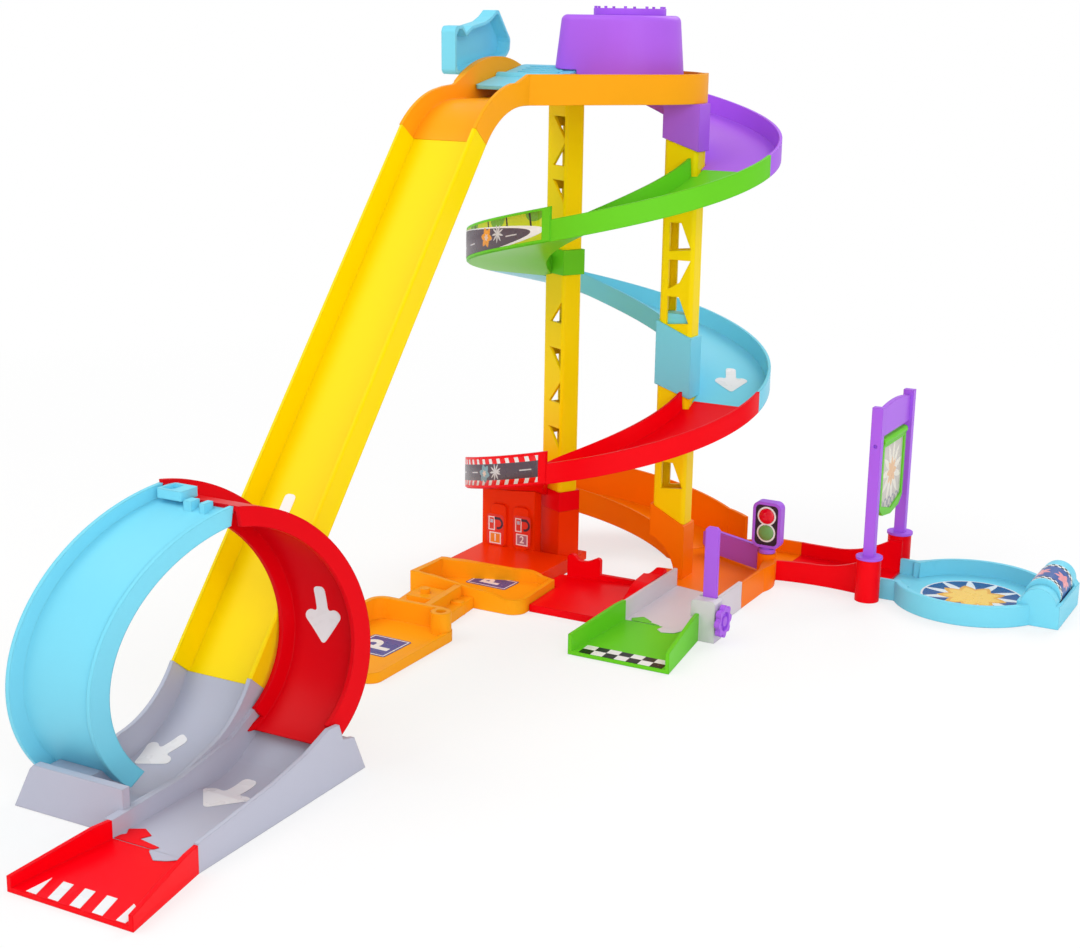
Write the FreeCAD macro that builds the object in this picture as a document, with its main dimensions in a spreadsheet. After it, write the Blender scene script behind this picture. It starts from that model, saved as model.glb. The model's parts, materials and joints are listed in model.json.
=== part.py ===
import FreeCAD, Part
import math
import os
import re
import Sketcher

# The model is laid out about the tower's axis: X to the right of the ramp, Y away from the loop,
# Z up from the floor. Each finished sub-part is then moved so that the origin is the centre of
# the floor area the toy covers. All lengths are millimetres and all angles degrees.

SIZES = {
    # From the tower's axis to the middle of the floor area
    "shift_x": -121.4, "shift_y": 268,
    # Track section
    "track_width": 65, "wall": 3, "floor_top": 6, "rail": 20,
    # Tower platform and crest
    "deck_under": 398, "deck_thick": 3, "deck_wall_top": 421,
    "deck_radius": 66, "deck_back_radius": 61.5, "tangent_angle": 39.6, "deck_step_angle": 30,
    "apron_start": 113, "apron_end": 140,
    "crest_y": -136, "crest_radius": 72, "slope": 50,
    "ramp_centre_x": -52, "ramp_length": 428, "ramp_foot_y": -466.4, "ramp_foot_z": 44.3,
    "pivot_y": -66, "pivot_z": 415, "plate_tilt": 10.5, "pin_radius": 2.5, "running_gap": 0.05,
    "hump_thick": 5.5, "plate_thick": 3,
    "handle_x": -101, "handle_depth": 12.6, "handle_wall": 2,
    # Dome
    "dome_radius": 47.5, "dome_flat_x": 49, "dome_corner": 15, "dome_height": 64,
    "dome_draft": 5.5, "dome_wall": 4, "dome_round": 5, "hopper_radius": 26.5, "crown_x": 1.5,
    "crown_radius": 29, "crown_height": 5.2, "exit_width": 56, "exit_height": 53, "exit_turn": 45,
    # Spiral
    "spiral_inner": 62, "spiral_outer": 127, "spiral_wall": 2.5, "channel_height": 17,
    "panel_rise": 10, "panel_thick": 1.2,
    "seam_top": 344, "seam_upper": 250, "seam_middle": 155, "seam_lower": 56,
    "top_span": 113, "top_rise": 54.2,
    "end_start": 60, "end_low": 3.5, "end_wall_height": 34, "end_inner_height": 16,
    "end_skirt": 6, "end_top": 76,
    # Columns
    "column_x": 54, "column_wide": 29, "column_deep": 19, "column_corner": 3.5,
    "column_wall": 2.5, "left_turn": -28.5, "window_tall": 18, "window_left": -7,
    "window_right": 12, "collar_margin": 1.2, "spigot": 6, "spigot_gap": 0.1,
    "leg_top": 52, "leg_slope": 16, "middle_collar_low": 161, "middle_collar_high": 211,
    "collar_slope": 10, "top_collar_low": 361, "upper_collar_low": 254,
    "upper_collar_high": 275, "lower_collar_low": 49, "lower_collar_high": 66,
    # Station and bays
    "station_left": -118, "station_front": -22, "station_thick": 12, "station_top": 72,
    "station_step": 12, "pump_top": 50, "bay_wall": 22,
    # Junction, lane and bridge
    "lane_left": 70, "lane_right": 135, "lane_end": -127, "lane_seam": -22,
    "post_x": 125, "post_y": 41, "post_radius": 8, "post_top": 25, "post_bore": 3,
    "exit_wall_y": 111, "bridge_low_y": 46, "bridge_start": 132, "bridge_end": 222,
    "panel_length": 77, "panel_direction": 156, "panel_low": 8, "panel_high": 29,
    "diverter_panel_thick": 4,
    "lip_y": -204,
    # Barrier
    "barrier_x": 139, "barrier_y": -120, "barrier_z": 17, "barrier_pin": 2,
    "bevel_near": 3, "bevel_far": 5, "bevel_gap": 0.3, "arm_top": 89, "arm_width": 11,
    "arm_thick": 3.4, "knob_radius": 13, "knob_x": 150, "knob_thick": 4,
    # Gate and banner
    "gate_x": 216, "gate_near": 36, "gate_far": 120, "gate_deep": 9, "gate_wide": 7,
    "gate_top": 163, "boss_top": 36, "boss_radius": 10, "bar_low": 137, "bar_high": 158,
    "banner_pivot": 131, "banner_low_y": 49, "banner_high_y": 111, "banner_tip": 64,
    "banner_thick": 4, "banner_pin": 1.5,
    # Dish
    "dish_x": 293, "dish_y": 77, "dish_radius": 65, "dish_inner": 60, "dish_rim": 17,
    "dish_floor": 4, "drum_x": 354, "drum_z": 22, "drum_radius": 14, "drum_low": 55,
    "drum_high": 102, "axle_radius": 2,
    # Loop
    "front_y": -497.5, "front_z": 83.2, "front_x": -38.8, "front_lean_z": 0.17,
    "front_lean_y": 0.34, "front_width": 57, "front_skin": 98.7, "front_left_rim": 107.4,
    "front_right_rim": 100.7, "front_rail": 88.5,
    "rear_y": -525.3, "rear_z": 98, "rear_x": -12.6, "rear_lean_z": -0.185,
    "rear_lean_y": 0.305, "rear_width": 58, "rear_skin": 84.4, "rear_right_rim": 84.4,
    "rear_left_rim": 92.9, "rear_rail": 72.3, "loop_seam_y": -518, "loop_skin": 3,
    "foot_front": -603, "foot_high": 30, "foot_seat": 21.5,
    "lip_start": -616, "lip_end": -684, "clip_x": -45.5, "clip_z": 181.5,
}

doc = FreeCAD.newDocument("ToyRaceTrack")
sheet = doc.addObject("Spreadsheet::Sheet", "Sizes")
for row, (alias, value) in enumerate(SIZES.items(), 1):
    sheet.set("A%d" % row, alias)
    sheet.set("B%d" % row, str(value))
    sheet.setAlias("B%d" % row, alias)
doc.recompute()

nodes = []
Vector = FreeCAD.Vector
PLANES = {"XY": "XY_Plane", "XZ": "XZ_Plane", "YZ": "YZ_Plane"}


def ex(text):
    """An expression with each size's name in the form the document needs."""
    return re.sub(r"[a-z][a-z_0-9]*", lambda m: "Sizes." + m[0] if m[0] in SIZES else m[0], str(text))


def num(text):
    """The present value of an expression."""
    value = sheet.evalExpression(ex(text))
    return float(getattr(value, "Value", value))


def place(piece, at=(0, 0, 0), turn=None, axis=(0, 0, 1)):
    """Binds a piece's place, and its turn about one axis, to the sheet."""
    if turn is not None:
        piece.Placement = FreeCAD.Placement(Vector(), FreeCAD.Rotation(Vector(*axis), num(turn)))
        piece.setExpression("Placement.Rotation.Angle", ex(turn))
    for letter, value in zip("xyz", at):
        piece.setExpression("Placement.Base." + letter, ex(value))
    return piece


def finish(piece, label, placed=False):
    """Names a finished sub-part and moves it, if not yet placed, to the model's origin."""
    bound = dict(piece.ExpressionEngine)
    for letter in "" if placed else "xy":
        path = "Placement.Base." + letter
        here = bound.get(path, bound.get("." + path, "0"))
        piece.setExpression(path, "(%s) + Sizes.shift_%s" % (here, letter))
    piece.Label = label
    nodes.append(piece)
    return piece


def arc_edge(start, end, radius):
    """A short arc between two points; a positive radius turns left, a negative one right."""
    chord = end - start
    half = chord.Length / 2
    rise = abs(radius) - math.sqrt(radius * radius - half * half)
    side = Vector(chord.y, -chord.x, 0).normalize() * math.copysign(rise, radius)
    middle = (start + end) * 0.5 + side
    if radius > 0:
        return Part.Arc(start, middle, end)
    return Part.Arc(end, middle, start)


def draw(sketch, outline):
    """Adds a closed outline of (u, v) points; a third value makes the next edge an arc."""
    first = sketch.GeometryCount
    count = len(outline)
    places = [Vector(num(point[0]), num(point[1]), 0) for point in outline]
    ends = []
    for i, point in enumerate(outline):
        start, end = places[i], places[(i + 1) % count]
        if len(point) == 3:
            radius = num(point[2])
            sketch.addGeometry(arc_edge(start, end, radius), False)
            ends.append((1, 2) if radius > 0 else (2, 1))
        else:
            sketch.addGeometry(Part.LineSegment(start, end), False)
            ends.append((1, 2))
    for i, point in enumerate(outline):
        following = (i + 1) % count
        sketch.addConstraint(Sketcher.Constraint(
            "Coincident", first + i, ends[i][1], first + following, ends[following][0]))
    for i, point in enumerate(outline):
        for kind, value in (("DistanceX", point[0]), ("DistanceY", point[1])):
            index = sketch.addConstraint(Sketcher.Constraint(
                kind, -1, 1, first + i, ends[i][0], num(value)))
            sketch.setExpression("Constraints[%d]" % index, ex(value))
        if len(point) == 3:
            index = sketch.addConstraint(Sketcher.Constraint("Radius", first + i, abs(num(point[2]))))
            sketch.setExpression("Constraints[%d]" % index, "abs(%s)" % ex(point[2]))


def draw_circle(sketch, u, v, radius):
    """Adds a circle with its centre and radius bound."""
    first = sketch.GeometryCount
    sketch.addGeometry(Part.Circle(Vector(num(u), num(v), 0), Vector(0, 0, 1), num(radius)), False)
    for kind, value in (("DistanceX", u), ("DistanceY", v)):
        index = sketch.addConstraint(Sketcher.Constraint(kind, -1, 1, first, 3, num(value)))
        sketch.setExpression("Constraints[%d]" % index, ex(value))
    index = sketch.addConstraint(Sketcher.Constraint("Radius", first, num(radius)))
    sketch.setExpression("Constraints[%d]" % index, ex(radius))


def box_outline(u_low, v_low, u_high, v_high):
    """A rectangle's outline."""
    return [(u_low, v_low), (u_high, v_low), (u_high, v_high), (u_low, v_high)]


def rounded_outline(u_low, v_low, u_high, v_high, corner):
    """A rectangle's outline with round corners."""
    low_u, high_u = "%s+%s" % (u_low, corner), "%s-(%s)" % (u_high, corner)
    low_v, high_v = "%s+%s" % (v_low, corner), "%s-(%s)" % (v_high, corner)
    return [(low_u, v_low), (high_u, v_low, corner), (u_high, low_v), (u_high, high_v, corner),
            (high_u, v_high), (low_u, v_high, corner), (u_low, high_v), (u_low, low_v, corner)]


class Piece:
    """A body built pad by pad on its own origin planes."""

    def __init__(self, name, at=(0, 0, 0), turn=None, axis=(0, 0, 1)):
        self.name = name
        self.steps = 0
        self.body = place(doc.addObject("PartDesign::Body", name), at, turn, axis)

    def sketch(self, plane, offset, outlines):
        """A sketch on an origin plane, moved along that plane's normal."""
        self.steps += 1
        drawing = self.body.newObject("Sketcher::SketchObject", "%s_sketch_%d" % (self.name, self.steps))
        role = PLANES[plane]
        support = [item for item in self.body.Origin.OriginFeatures if item.Role == role][0]
        drawing.AttachmentSupport = [(support, "")]
        drawing.MapMode = "FlatFace"
        sign = "-" if plane == "XZ" else ""
        drawing.setExpression("AttachmentOffset.Base.z", "%s(%s)" % (sign, ex(offset)))
        for outline in outlines:
            if isinstance(outline, tuple):
                draw_circle(drawing, *outline)
            else:
                draw(drawing, outline)
        return drawing

    def pad(self, plane, low, high, *outlines):
        """Adds the outlines between two heights over a plane."""
        drawing = self.sketch(plane, low, outlines)
        feature = self.body.newObject("PartDesign::Pad", "%s_pad_%d" % (self.name, self.steps))
        feature.Profile = drawing
        feature.setExpression("Length", ex("(%s)-(%s)" % (high, low)))
        feature.Reversed = plane == "XZ"
        feature.Refine = True
        return self

    def pocket(self, plane, low, high, *outlines):
        """Cuts the outlines between two heights over a plane, and makes sure that they cut."""
        doc.recompute()
        before = self.body.Shape.Volume
        drawing = self.sketch(plane, low, outlines)
        feature = self.body.newObject("PartDesign::Pocket", "%s_pocket_%d" % (self.name, self.steps))
        feature.Profile = drawing
        feature.setExpression("Length", ex("(%s)-(%s)" % (high, low)))
        feature.Reversed = plane != "XZ"
        feature.Refine = True
        doc.recompute()
        if not self.body.Shape.Volume < before - 0.5:
            raise RuntimeError(drawing.Name + " cuts nothing")
        return self

    def revolve(self, plane, offset, outline, axis="V_Axis", cut=False):
        """Turns an outline all the way round one of its sketch's axes."""
        drawing = self.sketch(plane, offset, [outline])
        kind = "Groove" if cut else "Revolution"
        feature = self.body.newObject("PartDesign::" + kind, "%s_turn_%d" % (self.name, self.steps))
        feature.Profile = drawing
        feature.ReferenceAxis = (drawing, [axis])
        feature.Angle = 360
        return self

    def done(self, label=None):
        return finish(self.body, label or self.name)


def free_sketch(name, outline, upright=False):
    """A sketch of its own, flat or standing on the X axis."""
    drawing = doc.addObject("Sketcher::SketchObject", name)
    if upright:
        drawing.Placement = FreeCAD.Placement(Vector(), FreeCAD.Rotation(Vector(1, 0, 0), 90))
    draw(drawing, outline)
    return drawing


def helix_run(name, outline, low_z, rise, low_angle, span):
    """Carries a (radius, height) outline up round the tower's axis from a low angle."""
    spine = doc.addObject("Part::Helix", name + "_spine")
    spine.setExpression("Height", ex(rise))
    spine.setExpression("Pitch", ex("(%s)*360/(%s)" % (rise, span)))
    spine.setExpression("Radius", ex("(spiral_inner+spiral_outer)/2"))
    section = free_sketch(name + "_section", outline, upright=True)
    run = doc.addObject("Part::Sweep", name)
    run.Sections = [section]
    run.Spine = (spine, ["Edge1"])
    run.Solid = True
    run.Frenet = True
    doc.recompute()
    return place(run, (0, 0, low_z), low_angle)


def block(name, at, sizes, turn=None):
    """A box from its low corner."""
    piece = doc.addObject("Part::Box", name)
    for prop, value in zip(("Length", "Width", "Height"), sizes):
        piece.setExpression(prop, ex(value))
    return place(piece, at, turn)


def boolean(kind, name, base, tool):
    piece = doc.addObject("Part::" + kind, name)
    piece.Base, piece.Tool = base, tool
    piece.Refine = True
    return piece


def fuse(name, shapes):
    piece = doc.addObject("Part::MultiFuse", name)
    piece.Shapes = shapes
    piece.Refine = True
    return piece


# Ramp: a U section of the track's width, laid on the slope.
def straight_ramp():
    half = "track_width/2"
    ramp = Piece("straight_ramp", ("ramp_centre_x", "ramp_foot_y", "ramp_foot_z"), "slope", (1, 0, 0))
    ramp.pad("XZ", 0, "ramp_length", [
        ("-" + half, 0), (half, 0), (half, "rail-1"), (half + "-1", "rail"),
        (half + "-wall", "rail"), (half + "-wall-1.5", "wall"), ("-(%s)+wall+1.5" % half, "wall"),
        ("-(%s)+wall" % half, "rail"), ("-(%s)+1" % half, "rail"), ("-(%s)" % half, "rail-1")])
    ramp.done()


# Platform: crest track, deck with its apron to the spiral, ring wall and launcher hump.
def top_platform():
    top = "deck_under+deck_thick"
    left, right = "ramp_centre_x-track_width/2", "ramp_centre_x+track_width/2"
    crest_z = "deck_under-crest_radius"
    def on_crest(radius):
        return ("crest_y-(%s)*sin(slope)" % radius, "%s+(%s)*cos(slope)" % (crest_z, radius))
    under = on_crest("crest_radius")
    rail = on_crest("crest_radius+rail")
    deck = Piece("top_platform")
    deck.pad("YZ", left, right, [
        (under[0], under[1], "-crest_radius"), ("crest_y", "deck_under"), (-126, "deck_under"),
        (-126, top), ("crest_y", top, "crest_radius+deck_thick"),
        on_crest("crest_radius+deck_thick")])
    deck.pad("YZ", right + "-wall", right, [
        (under[0], under[1], "-crest_radius"), ("crest_y", "deck_under"), (-127, "deck_under"),
        (-127, "deck_wall_top"), (-133, "deck_wall_top-2"), (-145, "deck_wall_top-6"),
        (-152, "deck_wall_top-6", "crest_radius+rail"), rail])
    deck.pad("YZ", left, left + "+wall", [
        (under[0], under[1], "-crest_radius"), ("crest_y", "deck_under"), (-119, "deck_under"),
        (-119, "deck_wall_top-3"), (-132, "deck_wall_top-9"), (-147, "deck_wall_top-10"),
        (-160, "deck_wall_top-12", "crest_radius+rail"), rail])
    cosine, sine = "cos(tangent_angle)", "sin(tangent_angle)"
    deck.pad("XY", "deck_under", top, [
        (left, -127), (right, -127), ("deck_radius*" + cosine, "-deck_radius*" + sine, "deck_radius"),
        ("deck_radius*cos(deck_step_angle)", "deck_radius*sin(deck_step_angle)"),
        ("deck_back_radius*cos(deck_step_angle)", "deck_back_radius*sin(deck_step_angle)",
         "deck_back_radius"),
        ("deck_back_radius*cos(apron_start)", "deck_back_radius*sin(apron_start)"),
        ("spiral_outer*cos(apron_start)", "spiral_outer*sin(apron_start)", "spiral_outer"),
        ("spiral_outer*cos(apron_end)", "spiral_outer*sin(apron_end)"), (left, 70)])
    deck.pad("XY", "deck_under", "deck_wall_top", [
        (right, -127), ("deck_radius*" + cosine, "-deck_radius*" + sine, "deck_radius"),
        ("deck_radius*cos(deck_step_angle)", "deck_radius*sin(deck_step_angle)"),
        ("deck_back_radius*cos(deck_step_angle)", "deck_back_radius*sin(deck_step_angle)",
         "deck_back_radius"),
        ("deck_back_radius*cos(apron_start)", "deck_back_radius*sin(apron_start)"),
        ("(deck_back_radius-wall)*cos(apron_start)", "(deck_back_radius-wall)*sin(apron_start)",
         "-(deck_back_radius-wall)"),
        ("(deck_back_radius-wall)*cos(deck_step_angle-3)",
         "(deck_back_radius-wall)*sin(deck_step_angle-3)"),
        ("(deck_radius-wall)*cos(deck_step_angle-3)", "(deck_radius-wall)*sin(deck_step_angle-3)",
         "-(deck_radius-wall)"),
        ("(deck_radius-wall)*" + cosine, "-(deck_radius-wall)*" + sine), (right + "-wall", -126),
        (right + "-wall", -127)])
    deck.pad("XY", "deck_under", "deck_wall_top", [
        ("spiral_outer*cos(apron_start)", "spiral_outer*sin(apron_start)", "spiral_outer"),
        ("spiral_outer*cos(apron_end)", "spiral_outer*sin(apron_end)"), (left, 70), (left, -30),
        (left + "+wall", -30), (left + "+wall", 71.3),
        ("(spiral_outer-wall)*cos(apron_end-1.5)", "(spiral_outer-wall)*sin(apron_end-1.5)",
         "-(spiral_outer-wall)"),
        ("(spiral_outer-wall)*cos(apron_start)", "(spiral_outer-wall)*sin(apron_start)")])
    deck.pad("YZ", left + "+wall-hump_thick", left + "+wall", [
        (-126, "deck_under+1"), (-20, "deck_under+1"), (-20, "deck_wall_top", 105),
        (-125, "deck_wall_top-7")])
    deck.pad("XY", top, "deck_wall_top-1", box_outline(-19, -72, -13, -60))
    deck.pocket("YZ", "handle_x", -10, ("pivot_y", "pivot_z", "pin_radius+running_gap"))
    deck.done()


# Launcher: a plate and an upright tray on one pin, all tilted by the plate's angle.
def launcher():
    at = (0, "pivot_y", "pivot_z")
    plate = Piece("launch_plate", at, "plate_tilt", (1, 0, 0))
    plate.pad("XY", "-plate_thick/2+1", "plate_thick/2+1",
              rounded_outline(-81.2, -38, -23, 42, 4))
    plate.pad("YZ", -81.2, -23, (0, 0, "pin_radius+2.5"))
    for row in range(4):
        plate.pad("XY", "plate_thick/2+1", "plate_thick/2+1.8", box_outline(
            -70, 12 + 7 * row, -34, 15 + 7 * row))
    plate.pocket("YZ", -82, -20, (0, 0, "pin_radius"))
    plate.done()
    outer = [(-48, 12.5), (22, 11, 14), (34, 16), (36, 22, 5), (35, 26), (22.5, 47.5, 4), (17, 49), (10, 46),
             (0, 44), (-20, 44.5), (-31, 41.5), (-35, 47.5), (-42, 48.5, 5), (-47.5, 43.5),
             (-52, 17, 5)]
    inner = [(-47, 15), (21, 13.5, 12), (32, 17.5), (33.8, 22), (33, 25), (21, 45.5), (17.5, 46.5), (10, 43.5),
             (0, 41.5),
             (-21, 42), (-31, 38.5), (-36, 45), (-41, 46), (-45.2, 42.5), (-49.5, 18)]
    handle = Piece("launch_handle", at, "plate_tilt", (1, 0, 0))
    handle.pad("YZ", "handle_x", "handle_x+handle_depth", outer)
    handle.pad("YZ", "handle_x", "handle_x+8", [(-7, 0), (7, 0), (12, 14), (-12, 14)])
    handle.pad("YZ", "handle_x", "handle_x+8", (0, 0, 7))
    handle.pocket("YZ", "handle_x+handle_wall", "handle_x+handle_depth+1", inner)
    handle.pocket("YZ", "handle_x-1", "handle_x+9", (0, 0, "pin_radius"))
    handle.done()
    pin = Piece("launch_pin", at, "plate_tilt", (1, 0, 0))
    pin.pad("YZ", "handle_x", -13.5, (0, 0, "pin_radius"))
    pin.done()


# Dome: a drafted shell with a flat left end, open on top for the ball and behind for its way out.
def dome():
    def plan(inset):
        half = "dome_radius-(%s)" % inset
        left = "-dome_flat_x+(%s)" % inset
        return [("0", "-(%s)" % half, half), (half, "0", half), ("0", half),
                ("%s+dome_corner" % left, half, "dome_corner"), (left, half + "-dome_corner"),
                (left, "-(%s)+dome_corner" % half, "dome_corner"),
                ("%s+dome_corner" % left, "-(%s)" % half)]
    def loft(name, inset, low, high):
        sections = []
        for level, extra in ((low, "0"), (high, "dome_draft")):
            drawing = free_sketch("%s_%d" % (name, len(sections)), plan("%s+%s" % (inset, extra)))
            drawing.setExpression("Placement.Base.z", ex(level))
            sections.append(drawing)
        shape = doc.addObject("Part::Loft", name)
        shape.Sections = sections
        shape.Solid = True
        shape.Ruled = True
        return shape
    base = "deck_under+deck_thick"
    top = base + "+dome_height"
    outer = loft("dome_outer", "0", base, top)
    inner = loft("dome_inner", "dome_wall", base + "-1", top + "-dome_wall")
    doc.recompute()
    rounded = doc.addObject("Part::Fillet", "dome_rounded")
    rounded.Base = outer
    level = num(top)
    rounded.Edges = [(i + 1, num("dome_round"), num("dome_round")) for i, edge in enumerate(
        outer.Shape.Edges) if all(abs(point.z - level) < 0.01 for point in edge.discretize(3))]
    shell = boolean("Cut", "dome_shell", rounded, inner)
    mouth = doc.addObject("Part::Cylinder", "dome_mouth")
    mouth.setExpression("Radius", ex("hopper_radius"))
    mouth.setExpression("Height", ex("dome_height"))
    place(mouth, ("crown_x", 0, base + "+dome_height/2"))
    way_out = block("dome_way_out", ("-exit_width/2*cos(exit_turn)", "-exit_width/2*sin(exit_turn)", base + "-1"),
                    ("exit_width", 90, "exit_height"), "exit_turn")
    opened = boolean("Cut", "dome_open", shell, mouth)
    slot = Piece("dome_plate_slot", (0, "pivot_y", "pivot_z"), "plate_tilt", (1, 0, 0))
    slot.pad("YZ", -82.2, -22, [(10, -30), (43.5, -30), (43.5, "plate_thick/2+2.4"), (10, "plate_thick/2+2.4")])
    finish(boolean("Cut", "dome", boolean("Cut", "dome_way", opened, way_out), slot.body), "dome")
    crown = Piece("dome_crown", ("crown_x", 0, top))
    crown.pad("XY", 0, "crown_height", (0, 0, "crown_radius"), (0, 0, "hopper_radius"))
    for i in range(10):
        crown.pad("XY", "crown_height", "crown_height+1.6", (
            "(crown_radius-1.3)*cos(%d)" % (36 * i), "(crown_radius-1.3)*sin(%d)" % (36 * i), 1.2))
    crown.done()


def channel(wall_height="channel_height"):
    """The spiral's section: a floor with two walls."""
    return [("spiral_inner", 0), ("spiral_outer", 0), ("spiral_outer", wall_height),
            ("spiral_outer-spiral_wall", wall_height), ("spiral_outer-spiral_wall-1", "spiral_wall"),
            ("spiral_inner+spiral_wall+1", "spiral_wall"),
            ("spiral_inner+spiral_wall", "channel_height"), ("spiral_inner", "channel_height")]


def column_gap(side, fit, reach):
    """The room a column needs through the spiral, floor to deck."""
    piece = Piece("gap_%s_%s" % (fit, side), (COLUMN_X[side], 0, 0), COLUMN_TURN[side])
    piece.pad("XY", 0, "deck_under+10", box_outline(
        "-column_wide/2-" + reach, "-column_deep/2-" + reach, "column_wide/2+" + reach,
        "column_deep/2+" + reach))
    return piece.body


COLUMN_X = {"left": "-column_x", "right": "column_x"}
COLUMN_TURN = {"left": "left_turn", "right": "0"}


def collar(name, side, low, high, slope="0", low_slope=None, margin="collar_margin", up=True, down=True):
    """A sleeve block about a column, its left end higher by the slopes, with its spigots."""
    low_slope = slope if low_slope is None else low_slope
    wide, deep = "column_wide/2+%s" % margin, "column_deep/2+%s" % margin
    piece = Piece(name, (COLUMN_X[side], 0, 0), COLUMN_TURN[side])
    piece.pad("XZ", "-(%s)" % deep, deep, [
        ("-(%s)" % wide, "%s+%s" % (low, low_slope)), (wide, low), (wide, high),
        ("-(%s)" % wide, "%s+%s" % (high, slope))])
    reach = "(column_wall+spigot_gap)"
    plan = box_outline("-column_wide/2+" + reach, "-column_deep/2+" + reach,
                       "column_wide/2-" + reach, "column_deep/2-" + reach)
    if up:
        piece.pad("XY", "%s-1" % high, "%s+%s+spigot" % (high, slope), plan)
    if down:
        piece.pad("XY", "%s-spigot" % low, "%s+%s+1" % (low, low_slope), plan)
    return piece.body


# Spiral: four segments of half a turn, each with the collar at its low end.
def spiral():
    gaps = {(fit, side): column_gap(side, fit, reach) for side in COLUMN_X
            for fit, reach in (("close", "spigot_gap"), ("wide", "(collar_margin+spigot_gap)"))}

    def segment(label, low_z, rise, low_angle, span, cuts, collar_body, panel=False):
        run = helix_run(label + "_channel", channel(), low_z, rise, low_angle, span)
        parts = [run]
        if panel:
            parts.append(helix_run(label + "_panel", [
                ("spiral_outer-spiral_wall", "channel_height-1"),
                ("spiral_outer-0.1", "channel_height-1"), ("spiral_outer-0.1", 1),
                ("spiral_outer+panel_thick", 1),
                ("spiral_outer+panel_thick", "channel_height+panel_rise"),
                ("spiral_outer-spiral_wall", "channel_height+panel_rise")],
                low_z, "(%s)/2" % rise, low_angle, "(%s)/2" % span))
        joined = fuse(label + "_walls", parts) if panel else run
        for side in cuts:
            fit = "close" if side == cuts[0] else "wide"
            joined = boolean("Cut", label + "_past_" + side, joined, gaps[fit, side])
        finish(fuse(label, [joined, collar_body]), label)

    segment("spiral_top_run", "seam_top", "top_rise", "0", "top_span", ["right"],
            collar("top_collar", "right", "top_collar_low", "deck_under", "0", "collar_slope", up=False))
    segment("spiral_upper_run", "seam_upper", "seam_top-seam_upper", "180", "180", ["left", "right"],
            collar("upper_collar", "left", "upper_collar_low", "upper_collar_high"), panel=True)
    segment("spiral_middle_run", "seam_middle", "seam_upper-seam_middle", "0", "180",
            ["right", "left"],
            collar("middle_collar", "right", "middle_collar_low", "middle_collar_high",
                   "collar_slope+3", "collar_slope"))
    segment("spiral_lower_run", "seam_lower", "seam_middle-seam_lower", "180", "180",
            ["left", "right"],
            collar("lower_collar", "left", "lower_collar_low", "lower_collar_high", down=False), panel=True)
    return gaps


# Columns: lattice tubes with windows through their wide faces.
def column(label, side, low, high, low_slope="0", high_slope="0", windows=(), notches=()):
    wide, deep = "column_wide/2", "column_deep/2"
    tube = Piece(label, (COLUMN_X[side], 0, 0), COLUMN_TURN[side])
    tube.pad("XY", low, "%s+%s" % (high, high_slope),
             rounded_outline("-column_wide/2", "-column_deep/2", wide, deep, "column_corner"))
    inner = "column_wall"
    tube.pocket("XY", "%s-1" % low, "%s+%s+1" % (high, high_slope), box_outline(
        "-column_wide/2+" + inner, "-column_deep/2+" + inner, wide + "-" + inner, deep + "-" + inner))
    tube.pocket("XZ", "-column_deep", "column_deep", *windows)
    if notches:
        tube.pocket("YZ", "-column_wide/2-1", "-column_wide/2+column_wall+1", *notches)
    sleeve = "(column_wide/2+collar_margin)"
    if low_slope != "0":
        tube.pocket("XZ", "-column_deep", "column_deep", [
            ("-" + sleeve, "%s-1" % low), (sleeve, "%s-1" % low), (sleeve, low),
            ("-" + sleeve, "%s+%s" % (low, low_slope))])
    if high_slope != "0":
        tube.pocket("XZ", "-column_deep", "column_deep", [
            (sleeve, high), (sleeve, "%s+%s+1" % (high, high_slope)),
            ("-" + sleeve, "%s+%s+1" % (high, high_slope)),
            ("-" + sleeve, "%s+%s" % (high, high_slope))])
    tube.done()


def rising_window(foot):
    """A window with a level lower edge and a falling upper one."""
    return [("window_left", foot - 5), ("window_right", foot - 3), (3, "%d+window_tall" % foot),
            ("window_left", "%d+window_tall" % foot)]


def falling_window(head):
    """A window with a level upper edge and a rising lower one."""
    return [("window_left", head), ("window_left", "%d-window_tall-6" % head),
            (3, "%d-window_tall" % head), ("window_right", head)]


def left_windows(feet):
    """Triangles beside the narrow face, in turn with the level edge low and high, and a notch in
    the far narrow face behind each."""
    triangles = []
    for i, foot in enumerate(feet):
        level = "%d+window_tall" % foot if i % 2 else foot
        triangles.append([("window_right", foot), (-4, level), ("window_right", "%d+window_tall" % foot)])
    return triangles, [box_outline(-3, foot - 3, 6.5, foot + 9) for foot in feet]


# End ramp: the last third of a turn, with a tall outer wall and a skirt under its inner wall.
def spiral_end_ramp(gaps):
    span = "(180-end_start)"
    run = helix_run("end_channel", [
        ("spiral_inner", "-end_skirt"), ("spiral_inner+spiral_wall", "-end_skirt"),
        ("spiral_inner+spiral_wall", 0), ("spiral_outer-spiral_wall", 0),
        ("spiral_outer-spiral_wall", "-end_skirt/2"), ("spiral_outer", "-end_skirt/2"),
        ("spiral_outer", "end_wall_height"), ("spiral_outer-spiral_wall", "end_wall_height"),
        ("spiral_outer-spiral_wall-1", "spiral_wall"), ("spiral_inner+spiral_wall+1", "spiral_wall"),
        ("spiral_inner+spiral_wall", "end_inner_height"), ("spiral_inner", "end_inner_height")],
        "end_low", "seam_lower-end_low", "end_start", span)
    ground = block("below_floor", (-160, -160, -30), (320, 320, 30))
    above = boolean("Cut", "end_above_floor", run, ground)
    level = block("end_wall_top", (-160, -10, "end_top"), (120, 150, 40))
    lowered = boolean("Cut", "end_lowered", above, level)
    finish(boolean("Cut", "spiral_end_ramp", lowered, gaps["wide", "left"]), "spiral_end_ramp")


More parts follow.
